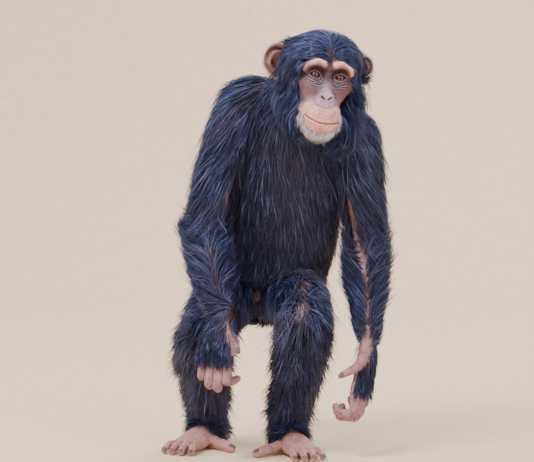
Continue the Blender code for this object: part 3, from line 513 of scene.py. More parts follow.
# %%
# Lengths of the three bones of each finger, and its radius in millimetres
FINGERS = {
    "index": ((0.037, 0.028, 0.018), 8.6),
    "middle": ((0.044, 0.031, 0.020), 8.8),
    "ring": ((0.041, 0.030, 0.019), 7.9),
    "little": ((0.031, 0.024, 0.016), 6.9),
}
HANDS = {
    RIGHT: {
        "knuckles": (at(-0.0945, -0.199, 0.184), at(-0.139, -0.192, 0.187)),
        "bones": (Vector((-0.10, -0.24, -0.97)), Vector((0.06, 0.96, -0.26)), Vector((0.15, 0.70, 0.70))),
        "thumb": (at(-0.093, -0.176, 0.231), at(-0.084, -0.182, 0.216), at(-0.078, -0.187, 0.197)),
    },
    LEFT: {
        "knuckles": (at(0.127, -0.149, 0.120), at(0.149, -0.099, 0.122)),
        "bones": (Vector((-0.08, -0.13, -0.97)), Vector((-0.99, 0.12, 0.03)), Vector((-0.16, 0, 0.98))),
        "thumb": (at(0.142, -0.136, 0.182), at(0.129, -0.154, 0.165), at(0.101, -0.160, 0.151)),
    },
}
FOREFINGER_BONES = (Vector((-0.08, -0.24, -0.97)), Vector((0.40, 0.90, -0.10)), Vector((0.55, 0.70, 0.28)))
# How far outward each toe sits from the middle of the foot, and its length
TOES = {
    "second": (-0.0225, 0.052),
    "third": (-0.0080, 0.056),
    "fourth": (0.0063, 0.053),
    "fifth": (0.0203, 0.045),
}


def finger_joints(which, label):
    first, last = HANDS[which]["knuckles"]
    share = list(FINGERS).index(label) / 3
    bones = HANDS[which]["bones"]
    if which == RIGHT and label == "index":
        bones = FOREFINGER_BONES
    joints = [first.lerp(last, share) + bones[0] * 0.012 * share * (1 - share)]
    for length, way in zip(FINGERS[label][0], bones):
        joints.append(joints[-1] + way.normalized() * length)
    return joints


def finger_shape(which, label):
    radius = FINGERS[label][1] * MM
    root, middle, end, tip = finger_joints(which, label)
    back = (root - middle).normalized()
    across = (middle - root).cross(end - middle)
    stations = [
        (root + back * 0.014, radius * 0.9, radius * 0.9),
        (root.lerp(middle, 0.10), radius * 1.02, radius * 1.02),
        (root.lerp(middle, 0.50), radius * 0.90, radius * 0.88),
        (middle.lerp(root, 0.12), radius, radius),
        (middle.lerp(end, 0.14), radius, radius * 0.98),
        (middle.lerp(end, 0.55), radius * 0.85, radius * 0.85),
        (end.lerp(middle, 0.08), radius * 0.90, radius * 0.88),
        (end.lerp(tip, 0.35), radius * 0.82, radius * 0.80),
        (end.lerp(tip, 0.72), radius * 0.76, radius * 0.70),
    ]
    return loft(label + "_shape", stations, across, sides=20, steps=3)


def palm_shape(which):
    first, last = HANDS[which]["knuckles"]
    row = (first - last).normalized()
    middle = (first + last) / 2
    wrist = WRIST[which]
    up = (wrist - middle).normalized()
    stations = [
        (wrist + up * 0.030, 0.0165, 0.0150),
        (wrist + up * 0.004, 0.0175, 0.0140),
        (wrist.lerp(middle, 0.40), 0.0258, 0.0142),
        (wrist.lerp(middle, 0.80), 0.0325, 0.0130),
        (middle - up * 0.001, 0.0315, 0.0100),
    ]
    return loft("palm_shape", stations, row, sides=28, steps=4)


def thumb_shape(which):
    root, middle, tip = HANDS[which]["thumb"]
    stations = [
        (root, 0.0086, 0.0086),
        (root.lerp(middle, 0.6), 0.0078, 0.0078),
        (middle.lerp(tip, 0.1), 0.0078, 0.0076),
        (middle.lerp(tip, 0.6), 0.0068, 0.0064),
        (tip, 0.0050, 0.0044),
    ]
    return loft("thumb_shape", stations, (0, 0.3, 1), sides=20, steps=3)


def foot_axes(which):
    ahead = Vector((math.sin(TOE_OUT[which]), -math.cos(TOE_OUT[which]), 0))
    return ahead, Vector((-ahead.y, ahead.x, 0)) * SIGN[which]


def sole_point(which, forward, out, height):
    ahead, outer = foot_axes(which)
    place = ANKLE[which] + ahead * forward + outer * out
    return Vector((place.x, place.y, height))


def toe_points(which, label):
    out, length = TOES[label]
    spread = out * 0.25
    row = [
        (0.074, out, 0.0125, 6.4),
        (0.080 + length * 0.30, out + spread * 0.4, 0.0145, 6.7),
        (0.080 + length * 0.48, out + spread * 0.6, 0.0142, 6.9),
        (0.080 + length * 0.72, out + spread * 0.9, 0.0115, 6.3),
        (0.080 + length * 0.90, out + spread, 0.0062, 6.0),
    ]
    return [(sole_point(which, f, 0.008 + o, h), r * MM, r * MM) for f, o, h, r in row]


def great_toe_points(which):
    row = [
        (0.022, -0.008, 0.0160, 11.5), (0.032, -0.021, 0.0150, 11.3), (0.043, -0.036, 0.0125, 10.4),
        (0.051, -0.048, 0.0122, 9.4), (0.057, -0.058, 0.0115, 9.6), (0.064, -0.073, 0.0080, 8.0),
    ]
    return [(sole_point(which, f, o, h), r * MM, r * MM) for f, o, h, r in row]


def foot_shapes(which):
    _, outer = foot_axes(which)
    sole = [
        (sole_point(which, -0.030, 0.000, 0.0170), 0.0185, 0.0185),
        (sole_point(which, -0.004, 0.001, 0.0225), 0.0225, 0.0240),
        (sole_point(which, 0.030, 0.003, 0.0190), 0.0265, 0.0205),
        (sole_point(which, 0.062, 0.006, 0.0135), 0.0305, 0.0148),
        (sole_point(which, 0.082, 0.008, 0.0110), 0.0290, 0.0115),
    ]
    leg = [
        (ANKLE[which] + Vector((0, 0, 0.034)), 0.0200, 0.0215),
        (ANKLE[which] + Vector((0, 0, 0.006)), 0.0210, 0.0220),
        (sole_point(which, 0.004, 0, 0.026), 0.022, 0.024),
    ]
    made = [loft("sole_shape", sole, outer, sides=28, steps=4), loft("ankle_shape", leg, outer, steps=4)]
    made.append(loft("great_toe_shape", great_toe_points(which), (0, 0, 1), sides=20, steps=3))
    made += [loft(label + "_toe_shape", toe_points(which, label), outer, sides=20, steps=3) for label in TOES]
    return made


HAND_VOXEL = 0.0021
FLOOR_CLEAR = 0.0004
extremities = []
for which in SIGN:
    shapes = [palm_shape(which), thumb_shape(which)] + [finger_shape(which, label) for label in FINGERS]
    extremities.append(melt("hand_" + which + "_skin", shapes, HAND_VOXEL, 3))
    foot = melt("foot_" + which + "_skin", foot_shapes(which), HAND_VOXEL, 3)
    places = points_of(foot)
    places[:, 2] = np.maximum(places[:, 2], FLOOR_CLEAR)
    set_points(foot, places)
    extremities.append(foot)
print("hands and feet", sum(len(thing.data.polygons) for thing in extremities), "faces")

# %% [markdown]
# ## Head and face
#
# The back of the head is a sphere drawn in to the blend. The face is a finer sheet of its own, laid
# out as rings from the nose to the edge of the hair, closed behind, and fused into the head.

# %%
FACE_OUTLINE = (
    (0, 32), (14, 34), (28, 33), (41, 26), (49, 9), (49, -16),
    (44, -40), (38, -62), (35, -84), (25, -102), (10, -110), (0, -111),
)
FACE_MIDDLE = (0.0, -38.0)
HEAD_MIDDLE = np.array([0.0, 14.0, -18.0])


def face_border(angles):
    """Reach of the face's outline from its middle, at each angle."""
    half = smooth_values(FACE_OUTLINE, 6) - np.array(FACE_MIDDLE)
    both = np.vstack([half, half[-2:0:-1] * (-1, 1)])
    around = np.unwrap(np.arctan2(both[:, 1], both[:, 0]))
    order = np.argsort(around % (2 * math.pi))
    reach = np.hypot(both[:, 0], both[:, 1])
    return np.interp(angles, around[order] % (2 * math.pi), reach[order], period=2 * math.pi)


def in_face(p):
    """How far a head point lies inside the outline of the face, in millimetres."""
    x, z = p[:, 0] - FACE_MIDDLE[0], p[:, 2] - FACE_MIDDLE[1]
    return face_border(np.arctan2(z, x) % (2 * math.pi)) - np.hypot(x, z)


def sunk_head_distance(p):
    """The blend, drawn in behind the face so that the fine sheet covers it."""
    sunk = 4.0 * ramp(in_face(p), 0.5, 5) * ramp(-p[:, 1], -30, -14)
    return skull_distance(p) + sunk


# The sphere's points walk inwards to the blend from here, by a share of the distance at each step
START_REACH, INWARD_STEPS, INWARD_SHARE = 190.0, 80, 0.6


def sphere(longitudes, latitudes):
    """Points and faces of a sphere of radius 1. The faces of Blender's own sphere come in another
    order in each run, and the coat is scattered over them, so they are put in one fixed order."""
    shape = bmesh.new()
    bmesh.ops.create_uvsphere(shape, u_segments=longitudes, v_segments=latitudes, radius=1.0)
    shape.verts.index_update()
    faces = [[vert.index for vert in face.verts] for face in shape.faces]
    points = np.array([vert.co for vert in shape.verts])
    shape.free()
    return points, sorted(faces, key=sorted)


def back_of_head(longitudes, latitudes):
    """The head behind the face, as a sphere drawn in to the blend."""
    points, faces = sphere(longitudes, latitudes)
    rays = points[:, [2, 1, 0]]
    reach = np.full(len(rays), START_REACH)
    for _ in range(INWARD_STEPS):
        reach -= INWARD_SHARE * sunk_head_distance(HEAD_MIDDLE + rays * reach[:, None])
    return closed_object("head_skin", world(HEAD_MIDDLE + rays * reach[:, None]).tolist(), faces)


# The sheet's points walk backwards in the same way, from in front of the nose
START_Y, BACKWARD_STEPS, BACKWARD_SHARE = -80.0, 110, 0.55
FACE_REAR = 34.0


def front_surface(x, z, distance):
    """The y of the first skin met behind (x, z), found by walking backwards."""
    y = np.full(len(x), START_Y)
    for _ in range(BACKWARD_STEPS):
        y += BACKWARD_SHARE * np.clip(distance(np.column_stack([x, y, z])), -2, 40)
    return y


def face_sheet(angles_count, rings_count):
    """The face as rings from the nose to the edge of the hair, closed behind."""
    angles = np.linspace(0, 2 * math.pi, angles_count, endpoint=False)
    border = face_border(angles)
    shares = np.linspace(0.004, 1.0, rings_count) ** 0.92
    x = (FACE_MIDDLE[0] + np.outer(shares, border * np.cos(angles))).ravel()
    z = (FACE_MIDDLE[1] + np.outer(shares, border * np.sin(angles))).ravel()
    smooth_y = front_surface(x, z, skull_distance)
    y = np.minimum(front_surface(x, z, face_distance), smooth_y + 12)
    front = np.column_stack([x, np.minimum(y, FACE_REAR - 1), z])
    last = front[-angles_count:]
    back = np.column_stack([last[:, 0] * 0.9, np.maximum(last[:, 1] + 8, FACE_REAR), last[:, 2] * 0.9])
    middle = front[:angles_count].mean(axis=0)
    points = np.vstack([front, back, middle, [[0, FACE_REAR, -38]]])
    around = np.arange(angles_count)
    edge = rings_count * angles_count
    hub = edge + angles_count
    faces = ring_quads(rings_count + 1, angles_count)
    faces += [(hub, b, a) for a, b in zip(around, np.roll(around, -1))]
    faces += [(hub + 1, a, b) for a, b in zip(edge + around, edge + np.roll(around, -1))]
    return closed_object("face_sheet", world(points).tolist(), faces)


# How far each ear stands out, half its height, and how high it sits, in millimetres. Hair covers the
# lower half of the left one, so that only a small top shows.
EARS = {RIGHT: (52.0, 35.5, 19.5), LEFT: (34.0, 23.0, 30.0)}
EAR_WIDTH = 0.60
# Across the disc of an ear, from its middle to its rim and back behind: share of the way out, depth
EAR_PROFILE = (
    (0.00, 7.0), (0.12, 6.6), (0.26, 5.2), (0.38, 2.2), (0.46, -1.2), (0.53, -2.8), (0.60, -1.8),
    (0.68, 1.6), (0.76, 2.6), (0.83, -0.6), (0.89, -4.4), (0.94, -6.2), (0.98, -5.6), (1.00, -3.4),
    (0.985, -0.8), (0.93, 1.8), (0.80, 5.6), (0.60, 8.2), (0.35, 10.0), (0.12, 10.6),
)


def ear_matrix(which):
    """From the ear's own millimetres, x and z in its plane, to the frame."""
    sign, (spread, _, rise) = SIGN[which], EARS[which]
    turn = Matrix.Rotation(math.radians(-18 * sign), 4, "Z")
    turn = turn @ Matrix.Rotation(math.radians(10 * sign), 4, "Y")
    return HEAD @ Matrix.Translation((sign * (58 + spread / 2), 66, rise)) @ turn


def ear_shape(which):
    """A cupped ear as a disc of rings: a rolled rim, an inner ridge and a deep bowl."""
    sign, (spread, half_height, _) = SIGN[which], EARS[which]
    angles = np.linspace(0, 2 * math.pi, 72, endpoint=False)
    width = spread * EAR_WIDTH
    # The outline is full above and draws in to a small lobe below
    low = ramp(-np.sin(angles), 0.0, 1.0)
    reach_x = np.cos(angles) * (1 - 0.30 * low) - 0.20 * sign * low * (1 - np.abs(np.cos(angles)))
    points = []
    for share, depth in EAR_PROFILE:
        inner = 1 - share
        # The bowl sits towards the head, and its wall breaks where it meets the cheek
        x = share * width * reach_x - sign * inner * 5.0
        z = share * half_height * np.sin(angles) + inner * -2.0
        outer_side = ramp(np.cos(angles) * sign, -0.9, -0.2)
        raised = depth * (0.35 + 0.65 * outer_side) if depth < 1 else np.full(len(angles), depth)
        points.append(np.column_stack([x, raised, z]))
    count, rows = len(angles), len(EAR_PROFILE)
    points = np.vstack([*points, points[0].mean(axis=0), points[-1].mean(axis=0)])
    faces = ring_quads(rows, count)
    last, hub = (rows - 1) * count, rows * count
    for j in range(count):
        i = (j + 1) % count
        faces += [(hub, i, j), (hub + 1, last + j, last + i)]
    return closed_object("ear_shape", points.tolist(), faces, ear_matrix(which))


head_back = back_of_head(110, 76)
face = face_sheet(300, 98)
ears = [ear_shape(which) for which in SIGN]
skin = fuse(head_back, [face, *ears, body, *extremities])
skin.name = "skin"
skin.data.shade_smooth()
print("skin", len(triangles_of(skin)), "triangles")

# %% [markdown]
# ## Which part a place belongs to
#
# Every place on the skin takes the name of the mass that it lies nearest to. The coat's length, its
# depth and its lie come from that name. A place on the face, the ears, the palms, the fingers and
# the toes grows no long hair.

# %%
def chain_distance(places, stations):
    """Distance to a chain of rods through (point, radius, ...), in metres."""
    found = np.full(len(places), 9.0)
    for (a, *first), (b, *second) in zip(stations, stations[1:]):
        found = np.minimum(found, rod(places, a, b, min(first), min(second)))
    return found


CHAINS = {
    "hips": TRUNK[:2], "belly": TRUNK[1:4], "chest": TRUNK[3:], "shoulders": GIRDLE, "neck": NECK,
}
for which in SIGN:
    for kind in LIMBS:
        CHAINS[kind + "_" + which] = limb_stations(kind, which)
    first, last = HANDS[which]["knuckles"]
    CHAINS["hand_" + which] = (
        (WRIST[which] + (WRIST[which] - first).normalized() * 0.004, 0.016),
        ((first + last) / 2, 0.022),
        ((first + last) / 2 + Vector((0, 0, -0.06)), 0.022),
    )
    CHAINS["foot_" + which] = (
        (sole_point(which, -0.025, 0, 0.016), 0.018),
        (sole_point(which, 0.05, 0, 0.014), 0.026),
        (sole_point(which, 0.13, 0, 0.008), 0.030),
    )
PARTS = ["head", *CHAINS]


def nearest_part(places):
    """The index in PARTS of the mass nearest to each place."""
    rows = [skull_distance(in_head(places)) * HEAD_SIZE * MM]
    rows += [chain_distance(places, chain) for chain in CHAINS.values()]
    return np.argmin(np.array(rows), axis=0)


places, lie = points_of(skin), normals_of(skin)
head_places = in_head(places)
off_middle, head_y, head_z = np.abs(head_places[:, 0]), head_places[:, 1], head_places[:, 2]
inside_face = in_face(head_places)
part = nearest_part(places)
is_head = part == 0
ear = is_head * ramp(skull_distance(head_places), 1.2, 3.0) * ramp(off_middle, 52, 56) * ramp(head_y, 30, 44)
ear *= ramp(head_z, -40, -25)
FACE_HAIRLINE = -18.0
before_hairline = ramp(-head_y, FACE_HAIRLINE, FACE_HAIRLINE + 8)
face_share = is_head * ramp(inside_face, 0.0, 5.0) * before_hairline
print({name: int((part == k).sum()) for k, name in enumerate(PARTS)})

# %% [markdown]
# ## Bare and thin places in the coat
#
# The coat is thin along a line down the front of each forearm, on the inner arms and at one knee.
# Each is a line seen from the front, so it counts only on skin that faces forwards.

# %%
# Each line as two places (x, z), how wide it is, and how bare
THIN = (
    ((0.029, 0.256), (0.033, 0.270), 0.010, 0.72), ((0.033, 0.270), (0.050, 0.318), 0.008, 0.78),
    ((0.124, 0.452), (0.133, 0.374), 0.0085, 1.0), ((0.133, 0.374), (0.147, 0.316), 0.0060, 0.80),
    ((0.147, 0.204), (0.146, 0.180), 0.012, 0.95), ((-0.095, 0.470), (-0.102, 0.424), 0.012, 1.0),
    ((-0.036, 0.658), (-0.056, 0.632), 0.011, 0.74), ((-0.056, 0.632), (-0.083, 0.602), 0.008, 0.60),
    ((-0.168, 0.245), (-0.168, 0.230), 0.009, 0.6), ((-0.046, 0.280), (-0.044, 0.268), 0.008, 0.85),
    ((-0.108, 0.262), (-0.094, 0.232), 0.006, 0.80), ((-0.094, 0.232), (-0.079, 0.192), 0.0075, 1.0),
)


def thin_share(spots, facing):
    """How bare each spot is, from 0 to 1."""
    bare = np.zeros(len(spots))
    forward = ramp(-facing[:, 1], -0.35, 0.2)
    flat = stacked(spots[:, 0], 0.0, spots[:, 2])
    for (x0, z0), (x1, z1), radius, amount in THIN:
        a, b = at(x0, 0, z0), at(x1, 0, z1)
        away = rod(flat, (a.x, 0, a.z), (b.x, 0, b.z), 0.0, 0.0)
        bare = np.maximum(bare, amount * peak(away, radius) * forward)
    for which in SIGN:
        start, end = ELBOW[which].lerp(WRIST[which], 0.12), WRIST[which]
        line = end - start
        t = np.clip((spots - start) @ line / line.length_squared, 0, 1)
        middle = np.array(start) + t[:, None] * np.array(line)
        away = np.abs(spots[:, 0] - middle[:, 0]) + 9 * (np.linalg.norm(spots - middle, axis=1) > 0.045)
        along = ramp(1 - t, 0.12, 0.40) if which == RIGHT else 1.0
        stripe = 0.55 * along * peak(away, 0.0045)
        bare = np.maximum(bare, stripe * ramp(-facing[:, 1], 0.2, 0.7))
    return bare


def thumb_share(spots):
    """1 on a thumb, which has no coat."""
    near = np.full(len(spots), 9.0)
    for which in SIGN:
        root, middle, tip = HANDS[which]["thumb"]
        bones = (root.lerp(middle, 0.2), middle), (middle, tip)
        near = np.min([near, *(rod(spots, a, b, 0, 0) for a, b in bones)], axis=0)
    return ramp(-near, -0.0115, -0.0095)


FOLD_GAP = 0.0027


def crease_shade(spots):
    """1 along the painted shade between two fingers, and in the painted shade of the folds over their joints.
    """
    dark = np.zeros(len(spots))
    for which in SIGN:
        away = []
        for label in FINGERS:
            root, middle, end, tip = finger_joints(which, label)
            radius = FINGERS[label][1] * MM
            bones = [rod(spots, a, b, radius, radius) for a, b in ((root, middle), (middle, end), (end, tip))]
            away.append(np.min(bones, axis=0))
            for joint, following in ((root, middle), (middle, end), (end, tip)):
                along = (spots - np.array(joint)) @ np.array((following - joint).normalized())
                close = rod(spots, joint, joint.lerp(following, 0.3), radius, radius) < 0.004
                fold = 0.5 + 0.5 * np.cos(along / FOLD_GAP * 2 * math.pi)
                folds = 0.8 * (close * (along < 0.006)) * fold**2 * peak(along, 0.0052)
                dark = np.maximum(dark, folds)
        first, second = np.sort(np.array(away), axis=0)[:2]
        knuckle, way = HANDS[which]["knuckles"][0], HANDS[which]["bones"][0].normalized()
        low = ramp((spots - np.array(knuckle)) @ np.array(way), -0.004, 0.006) * (first < 0.012)
        dark = np.maximum(dark, low * peak(second - first, 0.0015))
    return dark


bare = thin_share(places, lie)
hand_parts = [PARTS.index("hand_" + which) for which in SIGN]
foot_parts = [PARTS.index("foot_" + which) for which in SIGN]
hand_back = np.zeros(len(places))
foot_top = np.zeros(len(places))
for which in SIGN:
    first, last = HANDS[which]["knuckles"]
    row, reach = (last - first).normalized(), (first + last) / 2 - WRIST[which]
    back = np.array(row.cross(reach).normalized()) * (1 if which == RIGHT else -1)
    if np.dot(back, (0, 1, 0) if which == RIGHT else (-1, 0, 0)) > 0:
        back = -back
    along_hand = (places - np.array(WRIST[which])) @ np.array(reach) / reach.length_squared
    hairy = ramp(lie @ back, -0.1, 0.35) * ramp(-along_hand, -1.02, -0.80)
    hand_back = np.where(part == PARTS.index("hand_" + which), hairy, hand_back)
    ahead, _ = foot_axes(which)
    along_foot = (places - np.array(ANKLE[which])) @ np.array(ahead)
    hairy = ramp(lie[:, 2], 0.0, 0.5) * ramp(-along_foot, -0.036, -0.012) * ramp(places[:, 2], 0.012, 0.022)
    hairy = np.maximum(hairy, ramp(places[:, 2], 0.038, 0.048))
    foot_top = np.where(part == PARTS.index("foot_" + which), hairy, foot_top)
is_hand, is_foot = np.isin(part, hand_parts), np.isin(part, foot_parts)
haired = np.where(is_hand, hand_back, np.where(is_foot, foot_top, 1.0))
haired *= (1 - face_share) * (1 - ear) * (1 - thumb_share(places) * is_hand)
print("hairy share", round(float(haired.mean()), 3))

# %% [markdown]
# ## Tones of the skin
#
# The tone is painted on the skin's own points, from masks in the head's millimetres: pink brows and
# muzzle, dark skin round the eyes, a grey-lilac nose, pink ears and fingers, and dark grey-brown
# skin under the coat, which is painted shade. Painted highlights and painted shade also stand for the
# light and shade on the face, the ears and the fingers.

# %%
def linear(code):
    """A screen colour, written as hex, in linear light."""
    values = [int(code[k:k + 2], 16) / 255 for k in (1, 3, 5)]
    return np.array([v / 12.92 if v <= 0.04045 else ((v + 0.055) / 1.055) ** 2.4 for v in values])


def spot(centre, radii):
    """A soft oval mask in the head's x and z, alike on both sides."""
    x = (off_middle - centre[0]) / radii[0]
    z = (head_z - centre[1]) / radii[1]
    return np.exp(-((x * x + z * z) ** 1.4))


def brow_band(raised, width):
    """A soft band along the brow knobs, or a little above them."""
    flat = stacked(off_middle, 0.0, head_z - raised)
    near = np.full(len(flat), 99.0)
    for (x0, z0), (x1, z1) in zip(BROW_LINE, BROW_LINE[1:]):
        near = np.minimum(near, rod(flat, (x0, 0, z0), (x1, 0, z1), 0, 0))
    return peak(near, width, 4)


def painted(base, *layers):
    """A tone for every point: a base, with layers of (code, share) laid over it in turn."""
    found = np.tile(linear(base), (len(places), 1))
    for code, share in layers:
        found = found + (linear(code) - found) * np.clip(share, 0, 1)[:, None]
    return found


BROW_LINE = ((10, 19.5), (15, 23), (23, 25), (34, 21.5), (43, 13), (48, 0))
waves, ring_share = eye_rings(stacked(off_middle, head_y, head_z))
brow_fade = 1 - 0.75 * ramp(off_middle - 4 * np.sign(head_places[:, 0]), 34, 43)
muzzle = ramp(-head_z - 0.35 * off_middle, 36, 46)
pad = spot((0, -46), (20, 14.0)) * ramp(-head_y, 24, 32)
# Painted shade along the lower edge of the nose pad
pad_rim_shade = peak(np.hypot(off_middle / 19.5, (head_z + 46) / 13.5) - 1, 0.13)
pad_rim_shade *= ramp(-head_y, 24, 32) * ramp(-head_z, 40, 50)
lip_line = head_z - mouth_height(head_places[:, 0])
mouth_wide = ramp(36 - off_middle, 0, 5) * ramp(-head_y, -6, 4)
upper_lid, lower_lid = lid_edges(off_middle)
at_eye = ramp(13.0 - np.abs(off_middle - EYE_SPREAD), 0, 3)
lid_rim = np.minimum(np.abs(head_z - upper_lid), np.abs(head_z - lower_lid))
nostril = rod(stacked(off_middle, 0.0, head_z), (3.6, 0, -43.8), (8.2, 0, -40.6), 0, 0)
# Painted shade on the skin under the first hairs at the edge of the face, the jaw apart, and on the outer
# cheeks that the hair shades
edge_shade = ramp(-inside_face, -6.5, -1.0) * ramp(head_z, -66, -50)
edge_shade = np.maximum(edge_shade, 0.9 * spot((48, -24), (11, 28)))
face_tone = painted(
    "#937680",
    # Cheeks, under the eyes, the sockets, and between the eyes, then painted shadow under the brows
    ("#8a666a", spot((38, -26), (12, 22))),
    ("#5c4b60", spot((20, -12), (19, 17))),
    ("#3a282f", spot((21, 4), (19, 12.5))),
    ("#4a3843", spot((0, 2), (9, 17))),
    # Painted shadow under each brow knob, over the eye and at its inner corner
    ("#140d11", 0.95 * spot((22, 10.5), (18, 5.5))),
    ("#140d11", 0.85 * spot((10, 2), (4.5, 11))),
    # Rings, with a painted highlight on their crests and painted shade in the grooves between them
    ("#a593a6", 0.80 * ring_share * ramp(-waves, -0.1, 0.8)),
    ("#1d161c", ring_share * ramp(waves, 0.25, 0.85)),
    # Brow knobs with a painted highlight along their tops, the bridge of the nose, and the forehead with
    # painted shadow at the hair's edge
    ("#c48a80", 0.95 * brow_fade * brow_band(0, 6.4)),
    # Painted highlight along the top of each brow knob
    ("#ffd9d6", brow_fade * brow_band(2.4, 4.8)),
    ("#57434f", 0.8 * spot((0, 16), (4.5, 12))),
    ("#b9a7ba", 0.85 * spot((0, -28), (9, 13))),
    ("#7a6474", 0.6 * spot((0, 27), (6, 8))),
    # Painted shadow at the top of the forehead, under the hair
    ("#2b2730", 0.85 * spot((0, 41), (15, 9))),
    # Muzzle, nose pad with painted shade under its lower edge and a painted highlight on its top, and chin
    ("#f3b3ac", muzzle),
    ("#f6d2cb", 0.8 * spot((24, -56), (12, 10))),
    ("#b5a0c2", pad),
    ("#7d6678", 0.7 * pad_rim_shade),
    # Painted highlight on the top of the nose pad, where it stands furthest forward
    ("#d2bccd", 0.6 * spot((0, -36), (9, 6)) * ramp(-head_y, 30, 38)),
    ("#c78c7e", 0.8 * ramp(-head_z, 96, 106)),
    # Lips with a painted highlight on the lower one and painted shade along the mouth's groove, lids,
    # nostrils filled with painted shade, and painted shade under the hair at the face's edge
    # Painted highlight along the lower lip
    ("#fbc3ba", 0.9 * mouth_wide * peak(lip_line + 2.6, 1.5)),
    # Painted shade in the groove between the lips
    ("#3a2427", 0.9 * mouth_wide * peak(lip_line, 0.9)),
    ("#b79da4", 0.9 * at_eye * peak(lid_rim - 1.4, 0.9)),
    ("#251a1e", 0.9 * at_eye * peak(lid_rim, 0.8)),
    # Painted shade in the nostril slits
    ("#1c1013", peak(nostril, 1.7, 4) * ramp(-head_y, 32, 38)),
    ("#3a2c31", 0.8 * edge_shade),
)
ear_layers = []
for which in SIGN:
    back = np.array(ear_matrix(which).inverted())
    local = places @ back[:3, :3].T + back[:3, 3]
    this = SIGN[which] * head_places[:, 0] > 0
    ear_x, ear_z = local[:, 0] / (EARS[which][0] * EAR_WIDTH), local[:, 2] / EARS[which][1]
    share = np.hypot(ear_x, ear_z)
    pale = np.exp(-(((ear_x / 0.25) ** 2 + ((ear_z - 0.30) / 0.24) ** 2)))
    bowl = np.exp(-((((ear_x - 0.22 * SIGN[which]) / 0.26) ** 2 + ((ear_z + 0.12) / 0.34) ** 2)))
    # Over the ear's pink: a painted highlight on the inner ridge, painted shade in the bowl, a painted shadow
    # under the top of the rim, and a painted highlight along the rim
    ear_layers += [
        ("#d9b0ac", this * 0.8 * pale),
        ("#552c2f", this * 0.9 * bowl),
        ("#5f2420", this * (ramp(ear_z, 0.05, 0.5) * peak(share - 0.68, 0.12))),
        ("#f3cdc8", 0.95 * this * ramp(share, 0.79, 0.88)),
    ]
ear_tone = painted("#c99a96", *ear_layers)
# Painted shade between the fingers and in the folds over their joints
hand_tone = painted("#b08892", ("#4a2a2c", crease_shade(places)))
foot_tone = painted("#c4968f")
limb_bare = (is_hand | is_foot) * (1 - np.where(is_hand, hand_back * (1 - thumb_share(places)), foot_top))
# Near-black painted shade on the skin under the coat, so that the gaps between tufts look dark; the bare
# places show the skin's own paler tone
tone = painted("#12131d", ("#a5888c", bare * 1.3))
tone += (face_tone - tone) * (is_head * ramp(inside_face, -1.5, 0.5) * before_hairline)[:, None]
tone += (ear_tone - tone) * ear[:, None]
tone += (np.where(is_foot[:, None], foot_tone, hand_tone) - tone) * limb_bare[:, None]


def point_values(thing, name, values, kind="FLOAT"):
    """Keeps one number, or one colour, for each point of a mesh."""
    layer = thing.data.attributes.new(name, kind, "POINT")
    if kind == "FLOAT":
        layer.data.foreach_set("value", np.asarray(values, np.float32))
    else:
        full = np.column_stack([values, np.ones(len(values))])
        layer.data.foreach_set("color", full.astype(np.float32).ravel())


point_values(skin, "tone", tone, "FLOAT_COLOR")
point_values(skin, "wrinkle", np.clip(face_share + 0.8 * limb_bare + 0.4 * ear, 0, 1))
print("painted", len(tone), "points")

# %% [markdown]
# ## Materials
#
# Skin is a painted tone with blotches, fine creases and pores. Hair is near black with a blue-grey
# sheen, partly from the shader's sheen and partly painted into its colours as a blue tint and lighter
# steel-blue shades, and lighter towards some tips. A tuft's own shade and the way along it are stored on it.

# %%
def feed(made, target, inputs):
    """Sets inputs of a node to plain values or to other nodes' outputs."""
    for key, value in inputs.items():
        if isinstance(value, bpy.types.NodeSocket):
            made.node_tree.links.new(value, target.inputs[key])
        else:
            target.inputs[key].default_value = value


def material(name, roughness, ior=1.45):
    made = bpy.data.materials.new(name)
    made.use_nodes = True
    shader = made.node_tree.nodes["Principled BSDF"]
    feed(made, shader, {"Roughness": roughness, "IOR": ior})
    return made, shader


def node(made, kind, settings=None, inputs=None):
    """Adds a node, with its settings and what goes into it."""
    added = made.node_tree.nodes.new("ShaderNode" + kind)
    for key, value in (settings or {}).items():
        setattr(added, key, value)
    feed(made, added, inputs or {})
    return added


def place_of(made):
    return node(made, "TexCoord").outputs["Object"]


def noise_of(made, scale, detail):
    inputs = {"Vector": place_of(made), "Scale": scale, "Detail": detail, "Roughness": 0.55}
    return node(made, "TexNoise", {}, inputs).outputs["Fac"]


def stored(made, name, output="Fac"):
    """The values kept under this name on the points of the mesh."""
    return node(made, "Attribute", {"attribute_name": name}).outputs[output]


def mixed(made, share, first, second, way="MIX"):
    """Mixes two colours by share, or multiplies them."""
    added = node(made, "Mix", {"data_type": "RGBA", "blend_type": way}, {0: share, 6: first, 7: second})
    return added.outputs[2]


def rgba(code):
    return (*linear(code), 1.0)


def spread(made, value, low, high, start, end):
    return node(made, "MapRange", {}, {0: value, 1: low, 2: high, 3: start, 4: end}).outputs[0]


def colours(made, share, first, last, *between):
    """Colours along share, from steps of (place, code)."""
    ramped = node(made, "ValToRGB", {}, {"Fac": share})
    steps = ramped.color_ramp.elements
    for step, (place, code) in zip(steps, (first, last)):
        step.position, step.color = place, rgba(code)
    for place, code in between:
        steps.new(place).color = rgba(code)
    return ramped.outputs["Color"]


